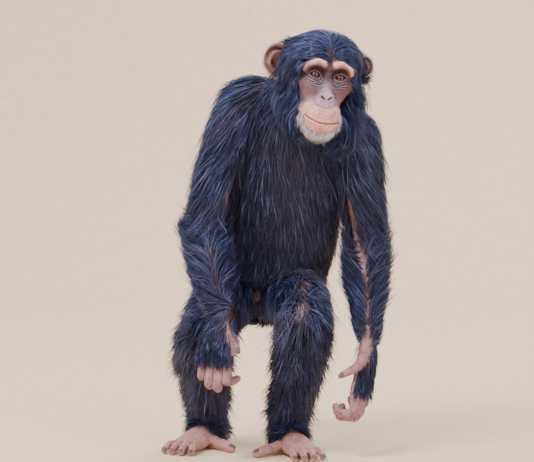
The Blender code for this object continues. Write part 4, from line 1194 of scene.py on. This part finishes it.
def skin_material():
    made, shader = material("skin_tone", 0.5, 1.4)
    blotch, speck = noise_of(made, 90, 5), noise_of(made, 480, 3)
    tone = stored(made, "tone", "Color")
    shaded = mixed(made, spread(made, blotch, 0.44, 0.70, 0, 0.45), tone, rgba("#93656a"), "MULTIPLY")
    warm = mixed(made, spread(made, speck, 0.50, 0.64, 0, 0.52), shaded, rgba("#854e48"))
    upright = node(made, "Mapping", {}, {"Vector": place_of(made), "Scale": (820, 820, 150)}).outputs[0]
    lines = node(made, "TexNoise", {}, {"Vector": upright, "Scale": 1.0, "Detail": 2.0}).outputs["Fac"]
    lined = mixed(made, spread(made, lines, 0.48, 0.66, 0, 0.40), warm, rgba("#9a6a66"), "MULTIPLY")
    bent = node(made, "Mapping", {}, {"Vector": place_of(made), "Scale": (300, 300, 620)}).outputs[0]
    crease = node(made, "TexVoronoi", {"feature": "DISTANCE_TO_EDGE"}, {"Vector": bent, "Scale": 1.0})
    creased = spread(made, crease.outputs["Distance"], 0.0, 0.22, 0, 1)
    depth = node(made, "Math", {"operation": "MULTIPLY"}, {0: creased, 1: stored(made, "wrinkle")}).outputs[0]
    fine = node(made, "Math", {"operation": "MULTIPLY_ADD"}, {0: speck, 1: 0.5, 2: depth}).outputs[0]
    bump = node(made, "Bump", {}, {"Height": fine, "Strength": 0.42, "Distance": 0.0007})
    feed(made, shader, {
        "Base Color": lined,
        "Roughness": spread(made, speck, 0.3, 0.7, 0.42, 0.62),
        "Normal": bump.outputs[0],
        "Subsurface Weight": 0.12,
        "Subsurface Radius": (0.006, 0.0022, 0.0014),
        "Subsurface Scale": 0.6,
    })
    return made


def hair_material(name, dark, middle, light, brown, roughness, sheen):
    made, shader = material(name, roughness, 1.55)
    shades = colours(made, stored(made, "shade"), (0.12, dark), (0.95, light), (0.55, middle))
    root = spread(made, stored(made, "along"), 0.0, 0.5, 0.75, 0.0)
    streak = spread(made, noise_of(made, 55, 3), 0.4, 0.65, 0.0, 0.35)
    colour = mixed(made, stored(made, "warm"), shades, rgba(brown))
    colour = mixed(made, root, colour, rgba(dark))
    feed(made, shader, {
        "Base Color": mixed(made, streak, colour, rgba(dark)),
        "Sheen Weight": sheen,
        "Sheen Roughness": 0.35,
        "Sheen Tint": rgba("#a7aee8"),
        "Specular Tint": rgba("#c9cdff"),
    })
    return made


SKIN = skin_material()
# The coat is black hair: the blue in its colours, and the steel blue of its lightest shade, are painted sheen
# of a blue sky
COAT = hair_material("black_hair", "#080b1b", "#172146", "#6674ad", "#625c74", 0.38, 0.16)
WHITE = hair_material("grey_hair", "#8b8290", "#ece7ef", "#ffffff", "#a89ea0", 0.5, 0.45)
skin.data.materials.clear()
skin.data.materials.append(SKIN)
print("materials", [made.name for made in (SKIN, COAT, WHITE)])

# %% [markdown]
# ## Eyes and nails
#
# Each eye is a ball with a slightly raised cornea. The distance from its line of sight, stored on
# its points, gives the pupil, the reddish-brown iris with its dark edge, and the dark white of the eye.

# %%
GAZE = (HEAD.to_3x3() @ Vector((0.02, -1, -0.10))).normalized()


def eye_material():
    made, shader = material("eye_gloss", 0.16, 1.33)
    away = spread(made, stored(made, "gaze"), 0, 12, 0, 1)
    colour = colours(
        made, away, (0.17, "#050405"), (1.0, "#2a1a19"), (0.21, "#2c1613"), (0.28, "#805a5c"),
        (0.40, "#644044"), (0.47, "#140a0a"), (0.62, "#33201f"),
    )
    fleck = spread(made, noise_of(made, 900, 4), 0.35, 0.7, 0, 0.5)
    colour = mixed(made, fleck, colour, rgba("#4a2a22"))
    feed(made, shader, {"Base Color": colour, "Coat Weight": 0.3, "Coat Roughness": 0.03})
    return made


CORNEA_RISE = 0.0006
EYE = eye_material()
for which in SIGN:
    centre = HEAD @ Vector((SIGN[which] * EYE_SPREAD, 0, 0))
    deselect()
    bpy.ops.mesh.primitive_uv_sphere_add(segments=72, ring_count=44, radius=EYE_RADIUS * HEAD_SIZE * MM)
    eye = bpy.context.object
    eye.name = "eyeball_" + which
    spots = points_of(eye) @ np.array(GAZE.to_track_quat("Z", "Y").to_matrix()).T
    depth = spots @ np.array(GAZE)
    aside = np.linalg.norm(spots - depth[:, None] * np.array(GAZE), axis=1)
    angle = np.arctan2(aside, depth)
    spots += np.array(GAZE) * (CORNEA_RISE * np.clip(1 - (angle / 0.66) ** 2, 0, 1))[:, None]
    set_points(eye, spots + np.array(centre))
    point_values(eye, "gaze", angle * EYE_RADIUS)
    eye.data.shade_smooth()
    eye.data.materials.append(EYE)
    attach(eye, "root")
    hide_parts("eye_" + which)


corners = triangles_of(skin)
tree = BVHTree.FromPolygons(places.tolist(), corners.tolist())


def nail(start, tip, upward, length):
    """A curved plate laid on the skin over the end of a finger or toe, from start towards tip."""
    way = (tip - start).normalized()
    upward = (upward - upward.project(way)).normalized()
    across = way.cross(upward)
    end = tree.ray_cast(tip + way * 0.03, -way)[0] or tip
    columns, rows = 11, 8
    outer, inner, faces = [], [], []
    for k in range(rows):
        t = k / (rows - 1)
        centre = end - way * (0.0012 + length * (1 - t))
        half = math.radians(56) * (1 - 0.35 * max(0, t - 0.6) ** 2 / 0.16) * (0.8 + 0.2 * min(1, t * 4))
        for j in range(columns):
            turn = (j / (columns - 1) * 2 - 1) * half
            out = upward * math.cos(turn) + across * math.sin(turn)
            hit = tree.ray_cast(centre + out * 0.02, -out, 0.03)[0] or centre + out * 0.004
            outer.append(hit + out * (0.0005 - 0.0002 * abs(turn)) + way * (0.0008 * t))
            inner.append(hit - out * 0.0007)
    index = np.arange(2 * rows * columns).reshape(2, rows, columns)
    for flip, grid in enumerate(index):
        quads = np.stack([grid[:-1, :-1], grid[:-1, 1:], grid[1:, 1:], grid[1:, :-1]], axis=-1).reshape(-1, 4)
        faces += (quads[:, ::-1] if flip else quads).tolist()
    edge = [(0, j) for j in range(columns)] + [(k, columns - 1) for k in range(1, rows)]
    edge += [(rows - 1, j) for j in range(columns - 2, -1, -1)] + [(k, 0) for k in range(rows - 2, 0, -1)]
    for (r0, c0), (r1, c1) in zip(edge, edge[1:] + edge[:1]):
        faces.append((index[0, r0, c0], index[1, r0, c0], index[1, r1, c1], index[0, r1, c1]))
    return closed_object("nail", [tuple(spot) for spot in outer + inner], faces)


nails = []
for which in SIGN:
    for label in FINGERS:
        root, middle, end, tip = finger_joints(which, label)
        axis = (middle - root).cross(end - middle)
        nails.append(nail(end, tip, -axis.cross(tip - end), 0.0085))
    root, middle, tip = HANDS[which]["thumb"]
    outer = Vector((0.75, -0.65, 0)) if which == RIGHT else Vector((-0.2, -1, 0.25))
    nails.append(nail(middle, tip, outer, 0.0090))
    for label in TOES:
        row = [Vector(spot_at) for spot_at, *_ in toe_points(which, label)]
        nails.append(nail(row[-2], row[-1], Vector((0, 0, 1)), 0.0070))
    row = [Vector(spot_at) for spot_at, *_ in great_toe_points(which)]
    nails.append(nail(row[-2], row[-1], Vector((0, 0, 1)), 0.0095))
nails = joined("nails", nails)
nails.data.shade_smooth()
NAIL, shader = material("nail_horn", 0.38, 1.5)
streak = noise_of(NAIL, 260, 4)
colour = mixed(NAIL, spread(NAIL, streak, 0.35, 0.65, 0, 1), rgba("#4c3c40"), rgba("#7c656a"))
bump = node(NAIL, "Bump", {}, {"Height": streak, "Strength": 0.2, "Distance": 0.0003})
feed(NAIL, shader, {"Base Color": colour, "Normal": bump.outputs[0]})
nails.data.materials.append(NAIL)
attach(nails, "root")
print("nails", len(nails.data.polygons), "faces")

# %% [markdown]
# ## The coat
#
# Each tuft is a thin three-sided blade that tapers to a point. Its root is sunk in the skin, and it
# lies along the flow of the coat and rises from it towards its tip. Tufts near one centre are drawn
# towards the line of that centre, so that they gather into locks.

# %%
# For each mass: spacing, length, height of the tips, width and lock spacing, in millimetres
COAT_SIZES = {
    "head": (1.62, 62, 12, 1.1, 9), "hips": (2.8, 56, 17, 2.2, 14), "belly": (2.75, 70, 17, 2.1, 14),
    "chest": (2.75, 88, 19, 2.0, 15), "shoulders": (2.45, 92, 20, 1.9, 14), "neck": (2.4, 70, 18, 2.1, 12),
    "upper_arm": (2.4, 92, 23, 1.9, 14), "forearm": (2.25, 58, 26, 1.7, 11), "thigh": (2.65, 62, 21, 1.9, 13),
    "shin": (2.35, 62, 27, 1.8, 12), "hand": (1.8, 30, 8, 1.5, 9), "foot": (1.8, 22, 9, 1.6, 8),
}
# Columns of the table
SPACING, LENGTH, HEIGHT, WIDTH, LOCK_GAP = range(5)


def kind_of(name):
    return name.replace("_right", "").replace("_left", "")


def sizes(labels, column):
    """One column of the table, in metres, for the mass of each tuft or point."""
    return np.array([COAT_SIZES[kind][column] for kind in KINDS])[labels] * MM


KINDS = [kind_of(name) for name in PARTS]
draw = np.random.default_rng(7)


def rows_of(vector):
    return np.array(vector, float)


def lie_of(label, p, normal):
    """The way the coat lies at places p of one mass, one row each."""
    kind = kind_of(label)
    which = LEFT if label.endswith("left") else RIGHT
    sign = SIGN[which]
    each = np.ones((len(p), 1))
    if kind == "head":
        h = in_head(p)
        side = np.clip((h[:, 0] - 3) / 26, -1, 1)
        top = ramp(h[:, 2], 22, 60)
        front = ramp(-h[:, 1], -46, -14) * ramp(h[:, 2], 18, 40)
        low = ramp(-h[:, 2], 20, 55)
        up_way = stacked(side * 0.8, 0.85, -0.15)
        front_way = stacked(side, 0.45, -0.1 - 0.5 * ramp(np.abs(h[:, 0]), 12, 40))
        down_way = stacked(side * np.where(h[:, 0] > 0, 0.72, 0.34), 0.22, -1.0)
        low_way = stacked(side * 0.40, -0.05, -1.0)
        way = down_way + (up_way - down_way) * top[:, None]
        way += (front_way - way) * front[:, None]
        way += (low_way - way) * low[:, None]
        return way @ np.array(HEAD_TURN.to_3x3()).T
    if kind == "forearm":
        up = rows_of((ELBOW[which] - WRIST[which]).normalized())
        t = np.clip((p - rows_of(WRIST[which])) @ up / (ELBOW[which] - WRIST[which]).length, 0, 1)
        middle = rows_of(WRIST[which]) + t[:, None] * rows_of(ELBOW[which] - WRIST[which])
        aside = np.clip((p - middle)[:, 0] / 0.014, -1, 1)
        facing = ramp(-normal[:, 1], -0.7, 0.3)
        rising = -0.75 + 1.45 * ramp(t, -0.08, 0.28) if which == RIGHT else 0.65 * ramp(t, -0.1, 0.3)
        rising = rising - 0.45 * ramp(t, 0.65, 1.0)
        over = -1.5 * peak(t - 0.09, 0.14) if which == RIGHT else 0.0
        return up * rising[:, None] + np.outer(aside * (0.5 + 0.6 * facing) + over, (1, 0.25, 0))
    if kind == "upper_arm":
        arm = ELBOW[which] - SHOULDER[which]
        down = rows_of(arm.normalized())
        t = ramp((p - rows_of(SHOULDER[which])) @ down / arm.length, 0.55, 1.1)
        return down + np.outer(0.34 + 0.5 * t, (sign, 0.25, 0))
    if kind == "thigh":
        return each * rows_of((KNEE[which] - HIP[which]).normalized() * 0.6 + Vector((0.2 * sign, 0, -0.8)))
    if kind == "shin":
        return each * rows_of((ANKLE[which] - KNEE[which]).normalized() + Vector((0.18 * sign, 0.2, 0)))
    if kind == "hand":
        first, last = HANDS[which]["knuckles"]
        return each * rows_of(((first + last) / 2 - WRIST[which]).normalized())
    if kind == "foot":
        return each * rows_of(foot_axes(which)[0] * 0.8 + Vector((0, 0, -1)))
    if kind == "shoulders":
        aside = np.clip((p[:, 0] - UPPER_CHEST.x) / 0.05, -1, 1)
        return stacked(aside * 0.9, 0.1, -1.0)
    if kind == "neck":
        return each * np.array([0, 0.4, -1.0]) + np.outer((p[:, 0] - NECK_BASE.x) * 8, (1, 0, 0))
    if kind == "hips":
        aside = np.clip((p[:, 0] - PELVIS.x) / 0.03, -1, 1)
        under = ramp(-normal[:, 2], 0.2, 0.8)
        low = ramp(PELVIS.z + 0.012 - p[:, 2], 0, 0.02)
        return stacked(aside * (0.25 + 0.5 * under + 0.9 * low), -0.1 - 0.5 * under, -1.0)
    aside = (p[:, 0] - WAIST.x) * (5 if kind == "chest" else 1.5)
    return stacked(aside, 0.1, -1.0)


def unit(rows):
    """Rows made one long."""
    return rows / np.maximum(np.linalg.norm(rows, axis=1), 1e-9)[:, None]


def laid_flat(way, normal):
    """Ways turned into the plane of the skin."""
    return unit(way - (way * normal).sum(axis=1)[:, None] * normal)


LOWEST_ROOT = 0.022
first, second, third = (places[corners[:, k]] for k in range(3))
areas = np.linalg.norm(np.cross(second - first, third - first), axis=1) / 2
face_normals = unit(lie[corners].sum(axis=1))
wanted = (haired * (1 - bare) / sizes(part, SPACING) ** 2)[corners].mean(axis=1) * areas
wanted *= places[corners[:, 0], 2] > LOWEST_ROOT
total = int(wanted.sum())
print("skin to cover", round(float((areas * (wanted > 0)).sum()), 3), "square metres;", total, "tufts")


def scatter(count, weights):
    """Places on the skin, its ways out there and its masses, more of them where weights are high."""
    picks = draw.choice(len(corners), count, p=weights / weights.sum())
    a, b = np.sort(draw.random((2, count)), axis=0)
    shares = np.column_stack([a, b - a, 1 - b])[:, :, None]
    spots = (places[corners[picks]] * shares).sum(axis=1)
    normal = unit((lie[corners[picks]] * shares).sum(axis=1))
    return spots, normal, part[corners[picks, 0]]


def flow_at(spots, normal, labels):
    """The way the coat lies at each place."""
    way = np.zeros((len(spots), 3))
    for k, name in enumerate(PARTS):
        chosen = labels == k
        if chosen.any():
            way[chosen] = unit(lie_of(name, spots[chosen], normal[chosen]))
    return way


def nearest_skin(spots):
    """The nearest place on the skin, and the skin's way out there."""
    found = [tree.find_nearest(spot) for spot in spots.tolist()]
    near = np.array([item[0] for item in found])
    index = np.array([item[2] for item in found])
    return near, face_normals[index]


def locks_near(spots, labels, share):
    """For each tuft, the nearest lock centre of its own mass, and how far aside that lies."""
    centre_index = np.zeros(len(spots), int)
    centres = np.zeros((len(spots), 3))
    start = 0
    for k, kind in enumerate(KINDS):
        chosen = np.where(labels == k)[0]
        if len(chosen) == 0:
            continue
        gap = COAT_SIZES[kind][LOCK_GAP] * share / COAT_SIZES[kind][SPACING]
        count = max(1, int(len(chosen) / gap**2 * 1.3))
        picks = draw.choice(chosen, count, replace=False)
        finder = KDTree(count)
        for i, pick in enumerate(picks):
            finder.insert(spots[pick], i)
        finder.balance()
        near = np.array([finder.find(spot)[1] for spot in spots[chosen].tolist()])
        centre_index[chosen] = start + near
        centres[chosen] = spots[picks[near]]
        start += count
    return centre_index, centres, start


EYE_LEVEL = HEAD.translation.z + 0.012
ROOT_SINK = 0.0012
STRAND_SHARE = 0.42
# Along a tuft: where its rings sit, and how far each is drawn to the middle of its lock
STEPS = (0.0, 0.36, 0.70, 1.0)
PULLS = (0.0, 0.30, 0.64, 0.92)
MOST_SHIFT = 0.02


def grow(spots, normal, labels, length, height):
    """Ring centres and ways out of each tuft, and the shade of its lock."""
    way = flow_at(spots + draw.normal(0, 0.0035, spots.shape), normal, labels)
    lock, centres, count = locks_near(spots, labels, 1.0)
    strand, strand_centres, strand_count = locks_near(spots, labels, STRAND_SHARE)
    # A lock's tufts share its rise, its turn and part of its shade
    calm = np.where(labels == 0, 0.35, 1.0)
    lock_turn = (draw.normal(0, 0.15, count)[lock] + draw.normal(0, 0.09, strand_count)[strand]) * calm
    lock_rise = draw.uniform(0.72, 1.12, count)[lock]
    lock_shade = draw.normal(0, 0.13, count)[lock] + draw.normal(0, 0.11, strand_count)[strand]
    turn = lock_turn + draw.normal(0, 0.09, len(spots)) * calm
    rise = height * lock_rise * draw.uniform(0.25, 1.0, len(spots)) ** 0.7
    on_top = (labels == 0) * ramp(spots[:, 2], EYE_LEVEL, EYE_LEVEL + 0.03)
    rise = rise + (height * 0.74 - rise) * 0.75 * on_top
    bend = 0.8 - 0.42 * on_top
    path, outs = [spots - normal * ROOT_SINK], [normal]
    current, out = spots, normal
    offset, near_offset = centres - spots, strand_centres - spots
    for k in (1, 2, 3):
        way = way if k == 1 else unit(0.45 * way + 0.55 * flow_at(current, out, labels))
        flat = laid_flat(way, out)
        aside = np.cross(out, flat)
        heading = unit(flat * np.cos(turn)[:, None] + aside * np.sin(turn)[:, None])
        step = length * (STEPS[k] - STEPS[k - 1])
        guess = current + heading * step[:, None] + out * (rise * 0.2)[:, None]
        surface, out = nearest_skin(guess)
        current = surface + out * (rise * STEPS[k] ** bend)[:, None]
        sideways = np.cross(out, laid_flat(heading, out))
        shift = (offset * sideways).sum(axis=1) * 0.62 + (near_offset * sideways).sum(axis=1) * 0.38
        shift *= np.where(labels == 0, 0.5, 1.0)
        path.append(current + sideways * (np.clip(shift, -MOST_SHIFT, MOST_SHIFT) * PULLS[k])[:, None])
        outs.append(out)
    return np.stack(path, axis=1), np.stack(outs, axis=1), lock_shade


# A tuft is three rings of three points and a tip
BLADE_POINTS = 10
RING_WIDTHS = (0.85, 1.0, 0.66)
BLADE_DEPTH = 0.34


def blade_faces(count):
    """Triangles of one tuft after another: three rings of three points, and a tip."""
    one = []
    for ring in (0, 3):
        for j in range(3):
            i = (j + 1) % 3
            one += [(ring + j, ring + i, ring + 3 + i), (ring + j, ring + 3 + i, ring + 3 + j)]
    one += [(6 + j, 6 + (j + 1) % 3, 9) for j in range(3)]
    return (np.array(one)[None] + BLADE_POINTS * np.arange(count)[:, None, None]).reshape(-1, 3)


def blades(path, outs, width):
    """The ten points of each tuft."""
    rings = []
    for k in range(3):
        along = unit(path[:, k + 1] - path[:, max(k - 1, 0)])
        aside = unit(np.cross(outs[:, k], along))
        top = np.cross(along, aside)
        half = (width * RING_WIDTHS[k] / 2)[:, None]
        middle = path[:, k]
        rings += [middle - aside * half, middle + aside * half, middle + top * half * 2 * BLADE_DEPTH]
    return np.stack([*rings, path[:, 3]], axis=1)


ATLAS = 5


def atlas_place(spots, labels):
    """A place in a chart of the skin: one cell for each mass, wound round its own axis."""
    out = np.zeros((len(spots), 2))
    for k, name in enumerate(PARTS):
        chosen = labels == k
        if not chosen.any():
            continue
        p = spots[chosen]
        if k == 0:
            q = in_head(p) - HEAD_MIDDLE
            turn = np.arctan2(q[:, 0], -q[:, 1])
            share = np.arctan2(q[:, 2], np.hypot(q[:, 0], q[:, 1])) / math.pi + 0.5
        else:
            stations = CHAINS[name]
            a, b = rows_of(stations[0][0]), rows_of(stations[-1][0])
            axis = (b - a) / np.linalg.norm(b - a)
            side = unit(np.cross(axis, np.array([[0.3, 0.9, 0.2]])))[0]
            other = np.cross(axis, side)
            turn = np.arctan2((p - a) @ side, (p - a) @ other)
            share = ((p - a) @ axis / np.linalg.norm(b - a) + 0.4) / 1.8
        cell = np.array([k % ATLAS, k // ATLAS % ATLAS])
        inside = np.column_stack([turn / (2 * math.pi) + 0.5, np.clip(share, 0, 1)])
        out[chosen] = (cell + 0.03 + 0.92 * inside) / ATLAS
    return out


# A tuft's own patch of the chart, where its points lie in it, and how far along the tuft each is
PATCH = 0.003
BLADE_CHART = np.array([(x, y) for y in (0, 0.4, 0.75) for x in (0, 1, 0.5)] + [(0.5, 1)])
BLADE_ALONG = np.array([STEPS[0]] * 3 + [STEPS[1]] * 3 + [STEPS[2]] * 3 + [STEPS[3]])
# So that no piece reaches 200,000 triangles
MOST_TUFTS = 12500
LOWEST_HAIR = 0.001


def coat_piece(name, spots, labels, path, outs, width, shade, warm, look, slot, stands_for=()):
    """One piece of coat: its tufts with their shades, and their places in the chart."""
    points = blades(path, outs, width).reshape(-1, 3)
    points[:, 2] = np.maximum(points[:, 2], LOWEST_HAIR)
    faces = blade_faces(len(spots))
    mesh = bpy.data.meshes.new(name)
    mesh.vertices.add(len(points))
    mesh.vertices.foreach_set("co", points.astype(np.float32).ravel())
    mesh.loops.add(faces.size)
    mesh.loops.foreach_set("vertex_index", faces.astype(np.int32).ravel())
    mesh.polygons.add(len(faces))
    mesh.polygons.foreach_set("loop_start", np.arange(0, faces.size, 3, dtype=np.int32))
    mesh.update(calc_edges=True)
    mesh.shade_smooth()
    piece = link(bpy.data.objects.new(name, mesh))
    point_values(piece, "shade", np.repeat(np.clip(shade, 0, 1), BLADE_POINTS))
    point_values(piece, "along", np.tile(BLADE_ALONG, len(spots)))
    point_values(piece, "warm", np.repeat(np.clip(warm, 0, 1), BLADE_POINTS))
    chart = (atlas_place(spots, labels)[:, None] + PATCH * (BLADE_CHART[None] - 0.5)).reshape(-1, 2)
    layer = mesh.uv_layers.new(name="OFBake")
    layer.data.foreach_set("uv", chart[faces.ravel()].astype(np.float32).ravel())
    mesh.materials.append(look)
    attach(piece, "root")
    if stands_for:
        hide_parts(*stands_for)
    return piece


spots, normal, labels = scatter(total, wanted)
length = sizes(labels, LENGTH) * draw.uniform(0.72, 1.12, total)
height = sizes(labels, HEIGHT)
width = sizes(labels, WIDTH) * draw.uniform(0.75, 1.2, total)
h = in_head(spots)
on_head = labels == 0
# Short at the face's edge, and long and full at the sides of the head
edge = np.where(on_head, 0.45 + 0.55 * ramp(-in_face(h) + 30 * ramp(h[:, 1], 0, 30), 1, 16), 1.0)
side_hair = on_head * ramp(-h[:, 2], -30, 25) * ramp(np.abs(h[:, 0]), 25, 45)
length *= edge * (1 + 0.55 * side_hair)
height = height * edge * (1 + np.where(h[:, 0] > 0, 3.0, 1.2) * side_hair)
height = height + 0.012 * on_head * ramp(-h[:, 0], 8, 42) * ramp(h[:, 2], 2, 36)
height = height + 0.005 * on_head * peak(h[:, 0] - 4, 24) * ramp(h[:, 2], 40, 56)
# The coat is shorter and flatter towards the wrists and the ankles
FOREARM = 0.17
low_arm, low_shin = np.ones(total), np.ones(total)
for which in SIGN:
    t = (spots - rows_of(WRIST[which])) @ rows_of((ELBOW[which] - WRIST[which]).normalized()) / FOREARM
    on_arm = labels == PARTS.index("forearm_" + which)
    low_arm = np.where(on_arm, 0.42 + 0.58 * ramp(t, 0.0, 0.55), low_arm)
    on_shin = labels == PARTS.index("shin_" + which)
    low_shin = np.where(on_shin, 0.72 + 0.28 * ramp(spots[:, 2], 0.045, 0.105), low_shin)
height = height * low_arm * low_shin
length *= 0.5 + 0.5 * low_arm
# A few tufts stand off and fray the outline
stray = draw.random(total) < 0.10 * (1 - on_head)
height = height * np.where(stray, 1.45, 1.0)
# The belly's hair ends where the lighter hair of the groin begins
belly_end = at(0, 0, 0.288).z
on_trunk = np.isin(labels, [PARTS.index("chest"), PARTS.index("belly")])
hangs = on_trunk & (normal[:, 1] < 0.3)
length = np.where(hangs, np.minimum(length, np.maximum(spots[:, 2] - belly_end, 0.022)), length)
path, outs, lock_shade = grow(spots, normal, labels, length, height)
# No tuft lies across a bare place, seen at four places along it
_, low, high, tip = (path[:, k] for k in range(4))
over = np.zeros(total)
for spot_on in (high * 0.5 + low * 0.5, high, high * 0.4 + tip * 0.6, tip):
    near, way_out = nearest_skin(spot_on)
    over = np.maximum(over, thin_share(near, way_out))
keep = draw.random(total) > over * 1.12
# Browner hair down the middle of the chest and at the bare places, and paler hair at the groin, made lighter
# still as painted light in its shade
chest_front = peak(spots[:, 0] - CHEST.x - 0.005, 0.035) * ramp(-normal[:, 1], 0.2, 0.8) * on_trunk
warm = 0.55 * chest_front + 0.7 * np.clip(over * 1.5 + thin_share(spots, normal), 0, 1)
warm = warm * draw.uniform(0.3, 1.0, total)
groin = ramp(belly_end + 0.004 - spots[:, 2], 0, 0.012)
groin *= ramp(spots[:, 2], belly_end - 0.075, belly_end - 0.045)
groin *= ramp(0.066 - np.abs(spots[:, 0] - PELVIS.x), 0, 0.02) * ramp(-normal[:, 1], -0.3, 0.4)
warm = np.maximum(warm, 0.75 * groin * draw.uniform(0.4, 1.0, total))
# Painted light from above: tufts that face up, and those on the head, shoulders and upper arms, get a lighter
# shade; the groin's share is partly painted light
upper = [k for k, kind in enumerate(KINDS) if kind in ("head", "shoulders", "upper_arm")]
top_light = 0.12 * ramp(normal[:, 2], 0.1, 0.9) + 0.55 * groin + 0.11 * np.isin(labels, upper)
shade = np.clip(0.42 + top_light + lock_shade + draw.normal(0, 0.16, total), 0, 1)
spots, labels, path, outs, width, shade, warm = (
    rows[keep] for rows in (spots, labels, path, outs, width, shade, warm)
)
print("grown", len(spots), "tufts")

coat = []
for k, name in enumerate(PARTS):
    chosen = np.where(labels == k)[0]
    if len(chosen) == 0:
        continue
    chosen = chosen[np.argsort(spots[chosen, 0])]
    shares = math.ceil(len(chosen) / MOST_TUFTS)
    for number, group in enumerate(np.array_split(chosen, shares)):
        label = "coat_" + name + ("_" + "abcdef"[number] if shares > 1 else "")
        picked = [rows[group] for rows in (spots, labels, path, outs, width, shade, warm)]
        coat.append(coat_piece(label, *picked, COAT, "black_coat"))
print(len(coat), "coat pieces,", sum(len(piece.data.polygons) for piece in coat), "triangles")

# %% [markdown]
# ## The beard
#
# Short white hair stands out round the chin, below and outside the bare skin.

# %%
BEARD_COUNT = 3800
inner_edge = 8.0 + 5.0 * ramp(-head_z, 92, 106)
jaw = is_head * ramp(inside_face, -1.0, 1.0) * (0.25 + 0.75 * ramp(6.0 - inside_face, 0, 5.0))
jaw *= ramp(inner_edge - inside_face, 0, 4.0)
jaw *= ramp(-head_z + 0.04 * head_places[:, 0], 64, 78) * ramp(-head_y, -16, -8)
jaw_weights = jaw[corners].mean(axis=1) * areas
spots, normal, labels = scatter(BEARD_COUNT, jaw_weights)
h = in_head(spots)
radial = unit(stacked(h[:, 0], 2.0, h[:, 2] + 78)) * [0.55, 1, 1] + [0, 0, -1.0]
beard_way = unit(radial @ np.array(HEAD_TURN.to_3x3()).T)
length = draw.uniform(8, 16, BEARD_COUNT) * (1 + 0.35 * ramp(-h[:, 2], 84, 104)) * MM
width = draw.uniform(0.8, 1.4, BEARD_COUNT) * MM
tip_rise = draw.uniform(0.4, 5.0, BEARD_COUNT) * (1 + 1.0 * ramp(-h[:, 2], 90, 106)) * MM
BEARD_SINK = 0.0010
path, outs = [spots - normal * BEARD_SINK], [normal]
turned = unit(laid_flat(beard_way, normal) + draw.normal(0, 0.13, spots.shape))
for share in STEPS[1:]:
    place = spots + turned * (length * share)[:, None]
    near, out = nearest_skin(place)
    inside = ((place - near) * out).sum(axis=1)
    lift = np.maximum(inside, tip_rise * share + 0.0004) - inside
    path.append(place + out * lift[:, None] + [0, 0, -0.0015 * share * share])
    outs.append(out)
shade = draw.uniform(0.15, 1.0, BEARD_COUNT)
beard = coat_piece("beard_hair", spots, labels, np.stack(path, axis=1), np.stack(outs, axis=1), width, shade,
                   np.zeros(BEARD_COUNT), WHITE, "white_beard", ("beard",))
print("beard", len(beard.data.polygons), "triangles")

# %% [markdown]
# ## What stands for what, floor, light and camera

# %%
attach(skin, "root")
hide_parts(*[name for name in frame["nodes"] if not name.startswith("eye") and name != "beard"])

# The floor runs back and turns up into a wall, so that no edge shows
sweep = [(-7.0, 0.0), (2.2, 0.0)]
sweep += [(2.2 + 1.4 * math.sin(a), 1.4 - 1.4 * math.cos(a)) for a in np.linspace(0.1, math.pi / 2, 16)]
sweep.append((3.6, 6.0))
spots = [(x, y, z) for y, z in sweep for x in (-7.0, 7.0)]
faces = [(2 * k, 2 * k + 1, 2 * k + 3, 2 * k + 2) for k in range(len(sweep) - 1)]
mesh = bpy.data.meshes.new("floor")
mesh.from_pydata(spots, [], faces)
mesh.shade_smooth()
floor = link(bpy.data.objects.new("floor", mesh))
FLOOR, shader = material("floor_paper", 0.9)
grain = spread(FLOOR, noise_of(FLOOR, 40, 5), 0.3, 0.7, 0, 1)
feed(FLOOR, shader, {"Base Color": mixed(FLOOR, grain, rgba("#f3dcb9"), rgba("#ebd2ae"))})
floor.data.materials.append(FLOOR)

TILT = math.radians(5)
DISTANCE = 5.0
FRAME_WIDTH = 0.961
SENSOR_WIDTH = 36
aim = at(-0.027, 0, 0.392)
lens = bpy.data.cameras.new("camera")
lens.sensor_width = SENSOR_WIDTH
lens.lens = SENSOR_WIDTH * DISTANCE / FRAME_WIDTH
lens.clip_start = 0.1
camera = link(bpy.data.objects.new("camera", lens))
camera.location = aim + Vector((0, -math.cos(TILT), math.sin(TILT))) * DISTANCE
camera.rotation_euler = (aim - camera.location).to_track_quat("-Z", "Y").to_euler()
bpy.context.scene.camera = camera

# Name, place, size, power and colour
LIGHTS = (
    ("key", (-1.7, -2.2, 3.6), 1.6, 185, "#fffafa"),
    ("fill", (2.8, -3.0, 1.6), 2.6, 85, "#eef0ff"),
    ("back", (1.2, 2.6, 3.0), 1.8, 110, "#e6eeff"),
    ("left", (-3.0, 0.6, 1.8), 1.8, 50, "#e6eeff"),
)
for name, place, size, power, code in LIGHTS:
    light = bpy.data.lights.new(name, "AREA")
    light.size = size
    light.energy = power
    light.color = linear(code)
    lamp = link(bpy.data.objects.new(name, light))
    lamp.location = place
    lamp.rotation_euler = (at(0, 0, 0.42) - Vector(place)).to_track_quat("-Z", "Y").to_euler()
sky = bpy.data.worlds.new("sky")
bpy.context.scene.world = sky
sky.use_nodes = True
backdrop = sky.node_tree.nodes["Background"]
backdrop.inputs["Color"].default_value = rgba("#ece4dc")
backdrop.inputs["Strength"].default_value = 0.95
